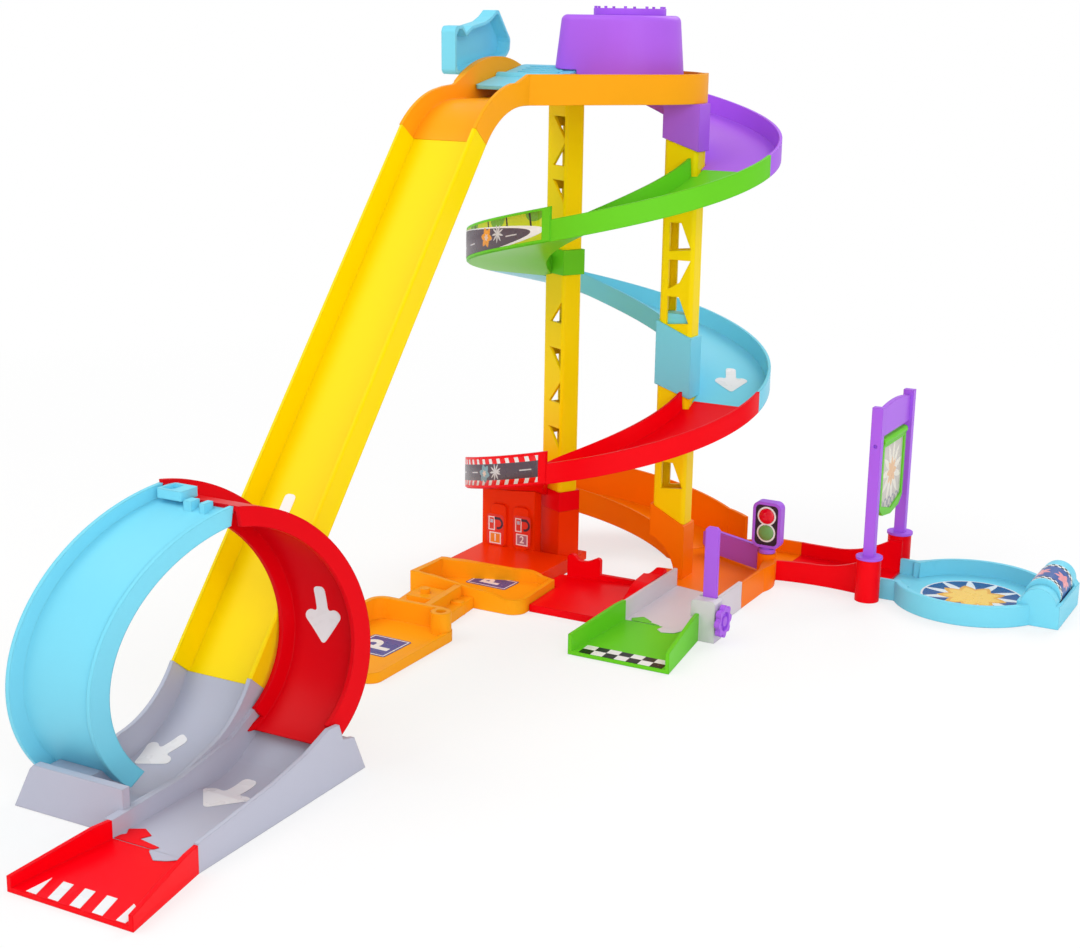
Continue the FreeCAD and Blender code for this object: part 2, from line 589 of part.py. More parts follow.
# Station: the left column's foot, a wall with two pump reliefs, and the floor before it.
def station_block():
    foot = collar("station_foot", "left", "0", "lower_collar_low-0.05", up=False, down=False)
    wall = Piece("station_wall")
    back = "station_front+station_thick"
    wall.pad("XY", 0, "station_top", box_outline("station_left", "station_front", -66, back))
    wall.pad("XY", 0, "station_step", box_outline("station_left", -78, -30, "station_front+1"))
    for x in ("-108", "-86"):
        wall.pad("XZ", "station_front-2.5", "station_front+1", rounded_outline(
            x, "station_step", x + "+15", "pump_top", 4))
    above = helix_run("station_headroom", [
        ("spiral_inner/2", 0), ("spiral_outer+10", 0), ("spiral_outer+10", 40), ("spiral_inner/2", 40)],
        "seam_lower-0.3", "seam_middle-seam_lower", "180", "180")
    lowered = boolean("Cut", "station_wall_lowered", wall.body, above)
    floor = Piece("station_floor")
    floor.pad("XY", 0, "spigot+1", box_outline(-72, -24, -34, 16))
    finish(fuse("station_block", [foot, lowered, floor.body]), "station_block")


# Junction: floor, walls, the right column's foot and the diverter's post.
def junction():
    plate = Piece("junction_floor")
    inner, outer = "spiral_inner", "spiral_outer"
    plate.pad("XY", 0, "floor_top", [
        (39, "lane_seam"), ("lane_right", "lane_seam-17"), (135, 10, 40), ("post_x+post_radius", "post_y"),
        ("bridge_start", "bridge_low_y"), ("bridge_start", "exit_wall_y"), (112, "exit_wall_y"),
        ("%s*cos(47)" % outer, "%s*sin(47)" % outer, outer),
        ("%s*cos(end_start)" % outer, "%s*sin(end_start)" % outer),
        ("%s*cos(end_start)" % inner, "%s*sin(end_start)" % inner, "-" + inner),
        ("%s*cos(12)" % inner, "%s*sin(12)" % inner), (39, 10)])
    plate.pad("XY", 0, "floor_top+15", [
        ("lane_right-wall", "lane_seam-16"), ("lane_right", "lane_seam-17"), (135, 10, 40),
        ("post_x+post_radius", "post_y"), ("post_x", "post_y"), (128, 20), (132, 5)])
    plate.pad("XY", 0, "floor_top+11", [
        ("bridge_start", "exit_wall_y"), (112, "exit_wall_y"), ("%s*cos(47)" % outer, "%s*sin(47)" % outer),
        ("(%s-wall)*cos(47)" % outer, "(%s-wall)*sin(47)" % outer), (113, "exit_wall_y-wall"),
        ("bridge_start", "exit_wall_y-wall")])
    plate.pad("XY", 0, "floor_top+32", [
        ("%s*cos(47)" % outer, "%s*sin(47)" % outer, outer),
        ("%s*cos(end_start)" % outer, "%s*sin(end_start)" % outer),
        ("(%s-wall)*cos(end_start)" % outer, "(%s-wall)*sin(end_start)" % outer, "-(%s-wall)" % outer),
        ("(%s-wall)*cos(47)" % outer, "(%s-wall)*sin(47)" % outer)])
    plate.pad("XY", 0, "floor_top+24", [
        ("%s*cos(end_start)" % inner, "%s*sin(end_start)" % inner, "-" + inner),
        ("%s*cos(8)" % inner, "%s*sin(8)" % inner), ("(%s+wall)*cos(8)" % inner, "(%s+wall)*sin(8)" % inner,
                                                     inner + "+wall"),
        ("(%s+wall)*cos(end_start)" % inner, "(%s+wall)*sin(end_start)" % inner)])
    plate.pad("XY", 0, "post_top", ("post_x", "post_y", "post_radius"))
    plate.pocket("XY", "floor_top", "post_top+1", ("post_x", "post_y", "post_bore+running_gap"))
    foot = collar("junction_foot", "right", "0", "leg_top-0.05", "leg_slope", "0", down=False)
    arch = Piece("junction_foot_arch", (COLUMN_X["right"], 0, 0), COLUMN_TURN["right"])
    arch.pad("XZ", "-column_deep", "column_deep", [
        (-20, -1), (8, -1), (8, 10, 38), (-16, 41), (-20, 41)])
    finish(fuse("junction", [plate.body, boolean("Cut", "junction_foot_open", foot, arch.body)]), "junction")


# Diverter: a panel on a hub that turns on the post and carries the traffic light.
def diverter():
    at = ("post_x", "post_y", 0)
    gate = Piece("diverter_gate", at, "panel_direction")
    half = "diverter_panel_thick/2"
    gate.pad("XZ", "-" + half, half, [
        ("post_radius+1.5", "panel_low"), ("panel_length-6", "panel_low"), ("panel_length", "panel_low+6"),
        ("panel_length", "panel_high-4"), ("panel_length-8", "panel_high"), (0, "panel_high"),
        (0, "post_top+0.3"), ("post_radius+1.5", "post_top+0.3")])
    gate.pad("XY", "post_top+0.3", "panel_high", (0, 0, "post_radius-1"))
    gate.pad("XY", "floor_top+0.5", "post_top+1", (0, 0, "post_bore"))
    gate.pad("XY", "panel_high-1", "panel_high+1", (0, 0, "5"))
    gate.done()
    case = Piece("signal_housing", at)
    low, high = "panel_high+1", "panel_high+41"
    case.pad("XZ", -5, 5, rounded_outline(-12.5, low, 12.5, high, 6))
    case.pocket("XZ", -6, -3.5, rounded_outline(-10, low + "+2.5", 10, high + "-2.5", 4))
    case.done()
    face = Piece("signal_face", at)
    face.pad("XZ", -4.7, -3.5, rounded_outline(-9.9, low + "+2.6", 9.9, high + "-2.6", 3.9))
    face.done()
    for label, level in (("red_lamp", high + "-12"), ("green_lamp", low + "+13.5")):
        lamp = Piece(label, ("post_x", "post_y-4.7", level))
        lamp.revolve("XY", 0, [(0, 0), (6.6, 0), (6.6, -0.7), (5.6, -1.4), (3.5, -2.2), (0, -2.6)])
        lamp.done()


# Lane: grey floor with two walls and the barrier's housing.
def finish_track():
    lane = Piece("finish_track")
    lane.pad("XY", 0, "floor_top", [
        ("lane_left", "lane_end"), ("lane_right", "lane_end"), ("lane_right", "lane_seam-17.2"),
        ("lane_left", "lane_seam-5.5")])
    lane.pad("XY", 0, "floor_top+15", [
        ("lane_left", "lane_end"), ("lane_left+wall", "lane_end"), ("lane_left+wall", "lane_seam-6.2"),
        ("lane_left", "lane_seam-5.5")])
    lane.pad("XY", 0, "floor_top+17", box_outline(
        "lane_right-wall", "lane_end", "lane_right", "lane_seam-17.5"))
    near, far = "barrier_y-7", "barrier_y+8"
    lane.pad("XZ", near, far, [
        ("barrier_x-4", 0), ("barrier_x+9", 0), ("barrier_x+9", 31), ("barrier_x+7", 33),
        ("barrier_x-9", 33), ("barrier_x-11", 31), ("barrier_x-11", 19), ("barrier_x-4", 19)])
    lane.pocket("XZ", near + "+2", far + "-1.8", box_outline("barrier_x-5.3", 4, "barrier_x+7", 31))
    lane.pocket("XZ", "barrier_y+2.7", "barrier_y+6.4", [
        ("barrier_x-12", "barrier_z-4"), ("barrier_x", "barrier_z-4"), ("barrier_x+6", "barrier_z"),
        ("barrier_x+6", 34), ("barrier_x-12", 34)])
    lane.pocket("XZ", near + "+0.7", far + "+1", ("barrier_x", "barrier_z", "barrier_pin+running_gap"))
    lane.pocket("YZ", "barrier_x+6", "barrier_x+10", (
        "barrier_y", "barrier_z", "barrier_pin+running_gap"))
    lane.done()


# Barrier: the boom on its pin and the knobbed wheel, joined by a pair of 45 degree cones.
def barrier():
    at = ("barrier_x", "barrier_y", "barrier_z")
    arm = Piece("barrier_arm", at)
    low, high = "3", "3+arm_thick-0.3"
    top = "arm_top-barrier_z"
    arm.pad("XZ", low, high, [
        (-2.6, 0), (2.6, 0), (2.6, 8), ("arm_width/2", 11), ("arm_width/2", top + "-2"),
        ("arm_width/2-2", top), ("-arm_width/2+2", top), ("-arm_width/2", top + "-2"),
        ("-arm_width/2", 11), (-2.6, 8)])
    arm.pad("XZ", low, high, (0, 0, 3.4))
    arm.pocket("XZ", 2, 7, (0, 0, "barrier_pin"))
    arm.done()
    bevel = Piece("barrier_arm_bevel", at)
    bevel.revolve("XY", 0, [
        ("barrier_pin", "-bevel_far"), ("bevel_far", "-bevel_far"), ("bevel_near", "-bevel_near"),
        ("barrier_pin", "-bevel_near")])
    bevel.done()
    pin = Piece("barrier_pin", at)
    pin.pad("XZ", -6.1, 7.7, (0, 0, "barrier_pin"))
    pin.done()
    wheel = Piece("barrier_knob_bevel", at)
    gap = "bevel_gap*1.42"
    wheel.revolve("XY", 0, [
        ("bevel_near+" + gap, 0), ("bevel_near+" + gap, "bevel_near"), ("bevel_far+" + gap, "bevel_far"),
        ("bevel_far+" + gap, "barrier_pin"), ("knob_x-barrier_x+knob_thick", "barrier_pin"),
        ("knob_x-barrier_x+knob_thick", 0)], "H_Axis")
    wheel.done()
    knob = Piece("barrier_knob", at)
    face = "knob_x-barrier_x"
    knob.pad("YZ", face, face + "+knob_thick", (0, 0, "knob_radius-2.5"))
    for i in range(8):
        knob.pad("YZ", face, face + "+knob_thick", (
            "(knob_radius-3)*cos(%d)" % (45 * i), "(knob_radius-3)*sin(%d)" % (45 * i), 3))
    knob.pocket("YZ", face + "+1.5", face + "+knob_thick+1", (0, 0, "knob_radius-5.5"))
    knob.pad("YZ", face, face + "+knob_thick", (0, 0, 4))
    knob.pocket("YZ", face + "-1", face + "+knob_thick+1", (0, 0, "barrier_pin"))
    knob.done()


# Green lip: a short ramp whose walls open out towards the floor.
def lip(label, joint, end, left, right, flare_left, flare_right, low_rail, high_rail):
    plan = Piece(label + "_plan")
    plan.pad("XY", 0, 30, [(left, joint), (flare_left, end), (flare_right, end), (right, joint)])
    profile = Piece(label + "_profile")
    profile.pad("YZ", flare_left + "-5", flare_right + "+5", [
        (joint, 0), (joint, "floor_top"), (end, 3), (end, 0)])
    floor = boolean("Common", label + "_floor", plan.body, profile.body)
    rails = Piece(label + "_rails")
    rails.pad("XY", 0, 30, [
        (left, joint), (flare_left, end), (flare_left + "+wall", end), (left + "+wall", joint)], [
        (right, joint), (right + "-wall", joint), (flare_right + "-wall", end), (flare_right, end)])
    top = Piece(label + "_top")
    top.pad("YZ", flare_left + "-5", flare_right + "+5", [
        (joint, 0), (joint, high_rail), (joint + "-12", high_rail), (end, low_rail), (end, 0)])
    walls = boolean("Common", label + "_walls", rails.body, top.body)
    finish(fuse(label, [floor, walls]), label)


# Bridge: a slightly waisted track whose walls rise to the gate's two sockets.
def bridge_track():
    low, high = "bridge_low_y", "exit_wall_y"
    plan = Piece("bridge_floor")
    plan.pad("XY", 0, "floor_top", [
        ("bridge_start", low, "-180"), ("gate_x-8", low), ("bridge_end", low), ("bridge_end", high),
        ("gate_x-8", high, "-180"), ("bridge_start", high)])
    rails = Piece("bridge_rails")
    rails.pad("XY", 0, 40, [
        ("bridge_start", low, "-180"), ("gate_x-8", low), ("bridge_end", low),
        ("bridge_end", low + "+wall"), ("gate_x-8", low + "+wall", "180"), ("bridge_start", low + "+wall")])
    rails.pad("XY", 0, 40, [
        ("bridge_start", high), ("bridge_start", high + "-wall", "180"), ("gate_x-8", high + "-wall"),
        ("bridge_end", high + "-wall"), ("bridge_end", high), ("gate_x-8", high, "-180")])
    heights = Piece("bridge_heights")
    heights.pad("XZ", 20, 140, [
        (130, 0), (224, 0), (224, 33), (212, 32, -90), (160, 18), (130, 17)])
    walls = boolean("Common", "bridge_walls", rails.body, heights.body)
    sockets = Piece("bridge_sockets")
    sockets.pad("XY", 0, "boss_top", ("gate_x", "gate_near", "boss_radius"))
    sockets.pad("XY", 0, "boss_top", ("gate_x", "gate_far", "boss_radius"))
    sockets.pad("XY", 0, "floor_top+26", box_outline("gate_x-6", "gate_near", "bridge_end", low + "+wall"))
    sockets.pad("XY", 0, "floor_top+26", box_outline(
        "gate_x-6", high + "-wall", "bridge_end", "gate_far"))
    sockets.pocket("XY", "boss_top-12", "boss_top+1", *[
        box_outline("gate_x-gate_deep/2", y + "-gate_wide/2", "gate_x+gate_deep/2", y + "+gate_wide/2")
        for y in ("gate_near", "gate_far")])
    finish(fuse("bridge_track", [plan.body, walls, sockets.body]), "bridge_track")


# Gate: two posts with a flange each and an arched crossbar.
def gate():
    frame = Piece("gate_frame")
    for y in ("gate_near", "gate_far"):
        frame.pad("XY", "boss_top-12", "gate_top", box_outline(
            "gate_x-gate_deep/2", y + "-gate_wide/2", "gate_x+gate_deep/2", y + "+gate_wide/2"))
        frame.pad("XY", "boss_top", "boss_top+2", ("gate_x", y, "boss_radius+1"))
    frame.pad("YZ", "gate_x-2", "gate_x+2", [
        ("gate_near", "bar_low"), ("gate_far", "bar_low"), ("gate_far", "bar_high", 200),
        ("gate_near", "bar_high")])
    for y in ("gate_near", "gate_far"):
        frame.pocket("XZ", "%s-gate_wide/2-1" % y, "%s+gate_wide/2+1" % y, (
            "gate_x", "banner_pivot", "banner_pin+running_gap"))
    frame.done()
    at = ("gate_x", 0, 0)
    low, high, tip = "banner_low_y", "banner_high_y", "banner_tip"
    middle = "(banner_low_y+banner_high_y)/2"
    def pointed(inset):
        return [(low + "+" + inset, "banner_pivot+3-" + inset), (low + "+" + inset, tip + "+10"),
                (low + "+9", tip + "+3+" + inset), (middle, tip + "+" + inset),
                (high + "-9", tip + "+3+" + inset), (high + "-" + inset, tip + "+10"),
                (high + "-" + inset, "banner_pivot+3-" + inset)]
    banner = Piece("banner_frame", at)
    banner.pad("YZ", "-banner_thick/2", "banner_thick/2", pointed("0"))
    banner.pad("XZ", low, high, (0, "banner_pivot", "banner_pin+1.8"))
    banner.pocket("YZ", -5, 5, [
        (low + "+4.5", "banner_pivot-5"), (low + "+4.5", tip + "+12"), (middle, tip + "+5"),
        (high + "-4.5", tip + "+12"), (high + "-4.5", "banner_pivot-5")])
    banner.pocket("XZ", low + "-1", high + "+1", (0, "banner_pivot", "banner_pin"))
    banner.done()
    board = Piece("banner_board", at)
    board.pad("YZ", -0.8, 0.8, [
        (low + "+4.5", "banner_pivot-5"), (low + "+4.5", tip + "+12"), (middle, tip + "+5"),
        (high + "-4.5", tip + "+12"), (high + "-4.5", "banner_pivot-5")])
    board.done()
    pin = Piece("banner_rod", at)
    pin.pad("XZ", "gate_near-2", "gate_far+2", (0, "banner_pivot", "banner_pin"))
    pin.done("banner_pin")


# Dish: a shallow round bowl with a neck to the bridge and two cheeks for the drum.
def dish():
    bowl = Piece("dish_bowl", ("dish_x", "dish_y", 0))
    bowl.revolve("XZ", 0, [
        (0, 0), ("dish_radius", 0), ("dish_radius", "dish_rim-1"), ("dish_radius-1", "dish_rim"),
        ("dish_inner", "dish_rim"), ("dish_inner-1", "dish_floor"), (0, "dish_floor")])
    neck = Piece("dish_neck")
    neck.pad("XY", 0, "dish_floor", box_outline("bridge_end", 45, 245, 111))
    neck.pad("XY", 0, "dish_rim", [
        ("bridge_end", 45), (236, 45), (248, 34), (250, 38), (238, 49), ("bridge_end", 49)])
    neck.pad("XY", 0, "dish_rim", [
        ("bridge_end", 111), (236, 111), (248, 122), (250, 118), (238, 107), ("bridge_end", 107)])
    bowl_open = block("neck_way", ("dish_x-dish_radius-2", 51, "dish_floor"), (14, 54, 30))
    cheeks = Piece("dish_cheeks", (0, 0, 0))
    cheeks.pad("XY", 0, "drum_z-3", box_outline("drum_x-17", 42, "drum_x+17", 115))
    for low, high, lift in ((42, 54, "-4"), (103, 115, "+0")):
        cheeks.pad("XZ", low, high, [
            ("drum_x-17", 0), ("drum_x+17", 0), ("drum_x+17", "drum_z-4"),
            ("drum_x+14", "drum_z" + lift, "drum_radius+0.01"),
            ("drum_x-14", "drum_z" + lift), ("drum_x-17", "drum_z-4")])
    cheeks.pocket("XZ", 48, 109, ("drum_x", "drum_z", "axle_radius+running_gap"))
    room = Piece("drum_room")
    room.pad("XZ", 54, 103, ("drum_x", "drum_z", "drum_radius+1"))
    joined = fuse("dish_joined", [bowl.body, neck.body, cheeks.body])
    whole = boolean("Cut", "dish_whole", joined, room.body)
    finish(boolean("Cut", "dish", whole, bowl_open), "dish")
    drum = Piece("roller_drum")
    drum.pad("XZ", "drum_low", "drum_high", ("drum_x", "drum_z", "drum_radius"),
             ("drum_x", "drum_z", "axle_radius"))
    drum.done()
    axle = Piece("roller_axle")
    axle.pad("XZ", 48.5, 108.5, ("drum_x", "drum_z", "axle_radius"))
    axle.done()


# Plaza: a red floor between the station and the lane, with a knobbed back wall and a humped one.
def plaza_plate():
    plate = Piece("plaza_floor")
    plate.pad("XY", 0, "floor_top", [
        (-9.3, -134), (52, -134), (69.6, -130), (69.6, -42), (40, -40), (10.5, -44.8), (-17, -49),
        (-24, -52), (-24, -79.5), (-12, -83.2)])
    back_plan = Piece("plaza_back_plan")
    back_plan.pad("XY", 0, 40, [
        (-17, -53.5), (11, -49.4), (40, -44.4), (40, -40), (10.5, -44.8), (-17, -49)])
    back = Piece("plaza_back_wall")
    back.pad("XZ", -70, -38, [
        (-18, 0), (41, 0), (41, 9), (11.5, 10.5), (11.5, 22, 3), (8, 24.5), (2, 21.5, -12), (-8, 21.5),
        (-11, 25, 4), (-16, 25), (-18, 22)])
    hump_plan = Piece("plaza_hump_plan")
    hump_plan.pad("XY", 0, 40, [(57, -133), (69.6, -130), (69.6, -42), (64, -43), (56, -58)])
    hump = Piece("plaza_hump")
    hump.pad("YZ", 40, 70, [
        (-134, 0), (-42, 0), (-42, 22), (-44, 24.5, 3), (-48, 24), (-52, 21.5, -10), (-58, 22.5),
        (-76, 21, 40), (-90, 15), (-104, 9.5, -60), (-134, 7)])
    finish(fuse("plaza_plate", [
        plate.body, boolean("Common", "plaza_back", back.body, back_plan.body),
        boolean("Common", "plaza_right", hump.body, hump_plan.body)]), "plaza_plate")


# Bays: two orange trays and the hinge-like link between them.
def bays():
    front = Piece("pad_front_floor")
    outline = [(-110, -104), (-36, -78.6), (-29, -78.6), (-13, -84), (-10, -138, "-12"), (-22, -150), (-112, -150)]
    front.pad("XY", 0, "floor_top", outline)
    rim_plan = Piece("pad_front_rim")
    rim_plan.pad("XY", 0, 40, outline, [
        (-106, -109.5), (-106, -146.4), (-25, -146.4, "10"), (-14.5, -138), (-17, -86.5), (-30, -82.6),
        (-36, -82.6)])
    heights = Piece("pad_front_heights")
    heights.pad("XZ", -160, -60, [
        (-115, 0), (-5, 0), (-5, 12), (-26, 12.5, 60), (-50, 16), (-92, 21, -80), (-106, "bay_wall"),
        (-115, "bay_wall")])
    finish(fuse("parking_pad_front", [
        front.body, boolean("Common", "pad_front_walls", rim_plan.body, heights.body)]),
        "parking_pad_front")
    link = Piece("pad_link")
    link.pad("XY", 0, "floor_top+3", [
        (-106, -150.1), (-52, -150.1), (-48, -190), (-56, -216.9), (-94, -216.9), (-101, -190)])
    link.pad("XY", 0, "floor_top+8", [(-96, -158), (-68, -158), (-66, -184), (-94, -184)])
    link.pad("XY", 0, "floor_top+12", (-84, -172, 4))
    link.pad("XY", 0, "floor_top+12", [(-68, -152), (-62, -152), (-58, -206), (-64, -206)])
    link.pad("XY", 0, "floor_top+5", box_outline(-60, -172, -50, -166))
    link.done()
    side = Piece("parking_pad_side")
    side.pad("XY", 0, "floor_top", rounded_outline(-100, -332, -27, -217, 10))
    side.pad("XY", 0, "floor_top+2", rounded_outline(-100, -332, -27, -217, 10))
    side.pocket("XY", "floor_top", "floor_top+3", rounded_outline(-96.5, -328, -31, -221, 7))
    side.pad("XY", 0, "bay_wall+1", [
        (-100, -300), (-100, -230, "-12"), (-89, -217), (-38, -217), (-38, -221), (-88, -221.5, "9"),
        (-96, -230), (-96, -300)])
    side.pad("XY", 0, "bay_wall+1", (-36, -226, 8))
    side.pocket("XY", "floor_top+9", "bay_wall+2", (-36, -226, 4))
    side.done()


# Loop base: the ramp's curve down to the floor, the exit lane beside it and the front foot.
def loop_base():
    foot_y, foot_z = "ramp_foot_y", "ramp_foot_z"
    surface = [(foot_y, foot_z), (foot_y + "-wall*sin(slope)", foot_z + "+wall*cos(slope)", "-78"),
               (-538, "floor_top")]
    entry = Piece("entry_profile")
    entry.pad("YZ", -62, -19.5, surface + [("foot_front+6", "floor_top"), ("foot_front+6", 0), (-440, 0)])
    entry.pad("YZ", -106, -61, surface + [
        (-554, "floor_top", "-95"), (-571, "foot_seat"), ("foot_front+6", "foot_seat"),
        ("foot_front+6", 0), (-440, 0)])
    plan = Piece("entry_plan")
    plan.pad("XY", -1, 60, [
        (-84.5, -430), (-84.5, -520), (-105, -585), (-105, "foot_front"), (-19.5, "foot_front"),
        (-19.5, -430)])
    plan.pocket("XZ", "foot_front-1", -560, [
        (-107, -2), (-105, 0), (-90, "foot_high"), (-90, 61), (-107, 61)])
    under = Piece("entry_under")
    under.pad("YZ", -110, -10, [
        (-430, 0), (-430, foot_z), (foot_y, foot_z, "-82"), (-535, 3), (-535, 0)])
    floor = boolean("Cut", "entry_floor", boolean("Common", "entry_block", entry.body, plan.body),
                    under.body)
    foot = Piece("entry_foot")
    foot.pad("XZ", "foot_front", "foot_front+6", [
        (-105, 0), (-19.5, 0), (-19.5, "foot_high"), (-88, "foot_high"), (-91, "foot_high-3")])
    rails = Piece("entry_rails")
    under_rail = [(-535, 0), (-535, 3, "82")]
    rails.pad("YZ", -84.5, -81.5, [
        (foot_y, foot_z), (foot_y + "-rail*sin(slope)", foot_z + "+rail*cos(slope)", "-70"),
        (-534, 26), (-560, 18), (-560, 0)] + under_rail)
    rails.pad("YZ", -22.5, -19.5, [
        (foot_y, foot_z), (foot_y + "-rail*sin(slope)", foot_z + "+rail*cos(slope)", "-70"),
        (-520, 27), (-554, 18), ("lip_start", 17), ("lip_start", 0)] + under_rail)
    lane = Piece("exit_lane")
    lane.pad("YZ", -19.5, 45.5, [
        ("lip_start", 0), (-451, 0), (-463, 24), (-476, 24), (-500, 10, "-60"), (-540, "floor_top"),
        ("lip_start", "floor_top")])
    lane.pad("YZ", 42.5, 45.5, [
        ("lip_start", 0), (-451, 0), (-463, 25), (-475, 28), (-479, 39), (-490, 40),
        (-514, 32), (-545, 26), (-588, 21), ("lip_start", 18)])
    lane.pad("YZ", -19.5, -16.5, [
        ("lip_start", 0), (-455, 0), (-472, 38), (-478, 40), (-505, 27), (-554, 19), ("lip_start", 17)])
    lane.pocket("YZ", -16, 42, [(-455, -1), (-466, 20), (-476, 20), (-500, 6), (-520, 3), (-520, -1)])
    finish(fuse("loop_base", [floor, foot.body, rails.body, lane.body]), "loop_base")


def leaning_half(label, x, y, z, lean_y, lean_z, width, skin, left_rim, right_rim, rail, front, low):
    """Half a ring round an X axis, sheared so that it leans across the track."""
    low_x, wide = num("%s-%s/2" % (x, width)), num(width)
    centre_y, centre_z = num(y), num(z)
    thick = num("loop_skin")
    outer = num(skin)

    def band(inner_radius, outer_radius, start, length):
        at = Vector(start, centre_y, centre_z)
        along = Vector(1, 0, 0)
        big = Part.makeCylinder(outer_radius, length, at, along)
        return big.cut(Part.makeCylinder(inner_radius, length, at, along))

    ring = band(outer - thick, outer, low_x, wide)
    ring = ring.fuse(band(num(rail), num(left_rim), low_x, thick))
    ring = ring.fuse(band(num(rail), num(right_rim), low_x + wide - thick, thick))
    seam, reach = num("loop_seam_y"), 200
    side = Part.makeBox(reach * 2, reach, reach * 2, Vector(
        low_x - reach, seam - reach if front else seam, low))
    half = ring.common(side).removeSplitter()
    shear = FreeCAD.Matrix()
    shear.A12, shear.A13 = num(lean_y), num(lean_z)
    shear.A14 = -num(lean_y) * centre_y - num(lean_z) * centre_z
    piece = doc.addObject("Part::Feature", label)
    piece.Shape = half.transformGeometry(shear)
    return place(piece, ("shift_x", "shift_y", 0))


# Loop: two half rings that lean across from the entry trough to the exit lane.
def loop():
    front = leaning_half("front_ring", "front_x", "front_y", "front_z", "front_lean_y", "front_lean_z",
                         "front_width", "front_skin", "front_left_rim", "front_right_rim", "front_rail",
                         True, 11)
    rear = leaning_half("rear_ring", "rear_x", "rear_y", "rear_z", "rear_lean_y", "rear_lean_z",
                        "rear_width", "rear_skin", "rear_left_rim", "rear_right_rim", "rear_rail",
                        False, 26)
    solids = [doc.getObject(name) for name in ("loop_base", "straight_ramp")]
    relief = block("rear_foot_relief", ("-30+shift_x", "-519+shift_y", 20), (8, 16, 12))
    rear = boolean("Cut", "rear_ring_relieved", rear, relief)
    front = boolean("Cut", "front_ring_ended", front, loop_end("front_end_cut", [
        ("front_y", "front_z"), ("front_y-89", "front_z-94"), ("front_y+20", -30), ("front_y+20", "front_z")]))
    rear = boolean("Cut", "rear_ring_ended", rear, loop_end("rear_end_cut", [
        ("rear_y", "rear_z"), ("rear_y-20", "rear_z-80"), ("rear_y+28", "rear_z-75.4"),
        ("rear_y+46", "rear_z-65.8")]))
    ribs = [block("top_rib_%d" % i, ("%s+shift_x" % x, "loop_seam_y-10+shift_y", 176.5), (wide, 8, 7))
            for i, (x, wide) in enumerate(((-30, 6), (-18, 4)))]
    front = fuse("front_ring_ribbed", [front] + ribs)
    for label, half in (("loop_front_half", front), ("loop_rear_half", rear)):
        clear = boolean("Cut", label + "_over_base", half, solids[0])
        finish(boolean("Cut", label, clear, solids[1]), label, placed=True)


def loop_end(name, outline):
    """A wedge across the track that squares off the end of a half ring."""
    wedge = Piece(name, ("shift_x", "shift_y", 0))
    wedge.pad("YZ", -130, 80, outline)
    return wedge.body


# Clip: the latch frame that ties the two halves at the top of the loop.
def loop_clip():
    frame = Piece("clip_frame", ("clip_x+shift_x", "loop_seam_y+shift_y", "clip_z"))
    frame.pad("XY", 0, 6, rounded_outline(-6.5, -8, 12.5, 8, 1.5))
    frame.pocket("XY", 3.5, 7, rounded_outline(-4, -5.5, 4, 5.5, 1))
    front, rear = (doc.getObject("loop_%s_half" % name) for name in ("front", "rear"))
    past_front = boolean("Cut", "clip_past_front", frame.body, front)
    finish(boolean("Cut", "loop_clip", past_front, rear), "loop_clip", placed=True)


def build():
    straight_ramp()
    top_platform()
    launcher()
    dome()
    gaps = spiral()
    column("right_upper_column", "right", "middle_collar_high", "top_collar_low", "collar_slope+3",
           "collar_slope", [rising_window(226), falling_window(274), rising_window(286),
                            falling_window(340)])
    column("right_lower_column", "right", "leg_top", "middle_collar_low", "leg_slope", "collar_slope",
           [rising_window(87), falling_window(149)])
    column("left_upper_column", "left", "upper_collar_high", "deck_under", "0", "0",
           *left_windows((285, 314, 344, 366)))
    column("left_lower_column", "left", "lower_collar_high", "upper_collar_low", "0", "0",
           *left_windows((76, 104, 144, 173, 213)))
    spiral_end_ramp(gaps)
    station_block()
    junction()
    diverter()
    finish_track()
    barrier()
    lip("finish_ramp", "lane_end", "lip_y", "lane_left", "lane_right", "lane_left-8", "lane_right+10",
        16, 22)
    bridge_track()
    gate()
    dish()
    plaza_plate()
    bays()
    loop_base()
    loop()
    loop_clip()
    lip("end_ramp", "lip_start", "lip_end", "-19.5", "45.5", "-31", "57.4", 9.5, 17)


def check_and_write():
    """Stops on any failed object, then writes one file for each sub-part."""
    doc.recompute()
    for item in doc.Objects:
        if "Invalid" in item.State or "Error" in item.State:
            raise RuntimeError("%s failed: %s" % (item.Name, item.State))
    os.makedirs("parts", exist_ok=True)
    for node in nodes:
        if node.Shape.isNull() or not node.Shape.isValid():
            raise RuntimeError(node.Label + " has a bad shape")
        node.Shape.exportStep("parts/%s.step" % node.Label)
        box = node.Shape.BoundBox
        print("%-22s solids %d  volume %9.0f  x %7.1f %7.1f  y %7.1f %7.1f  z %6.1f %6.1f" % (
            node.Label, len(node.Shape.Solids), node.Shape.Volume, box.XMin, box.XMax, box.YMin,
            box.YMax, box.ZMin, box.ZMax))


build()
check_and_write()
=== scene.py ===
import json
import math

import bpy
from bpy.props import FloatProperty, FloatVectorProperty, IntProperty, PointerProperty
from contextlib import contextmanager
from mathutils import Euler, Matrix, Vector


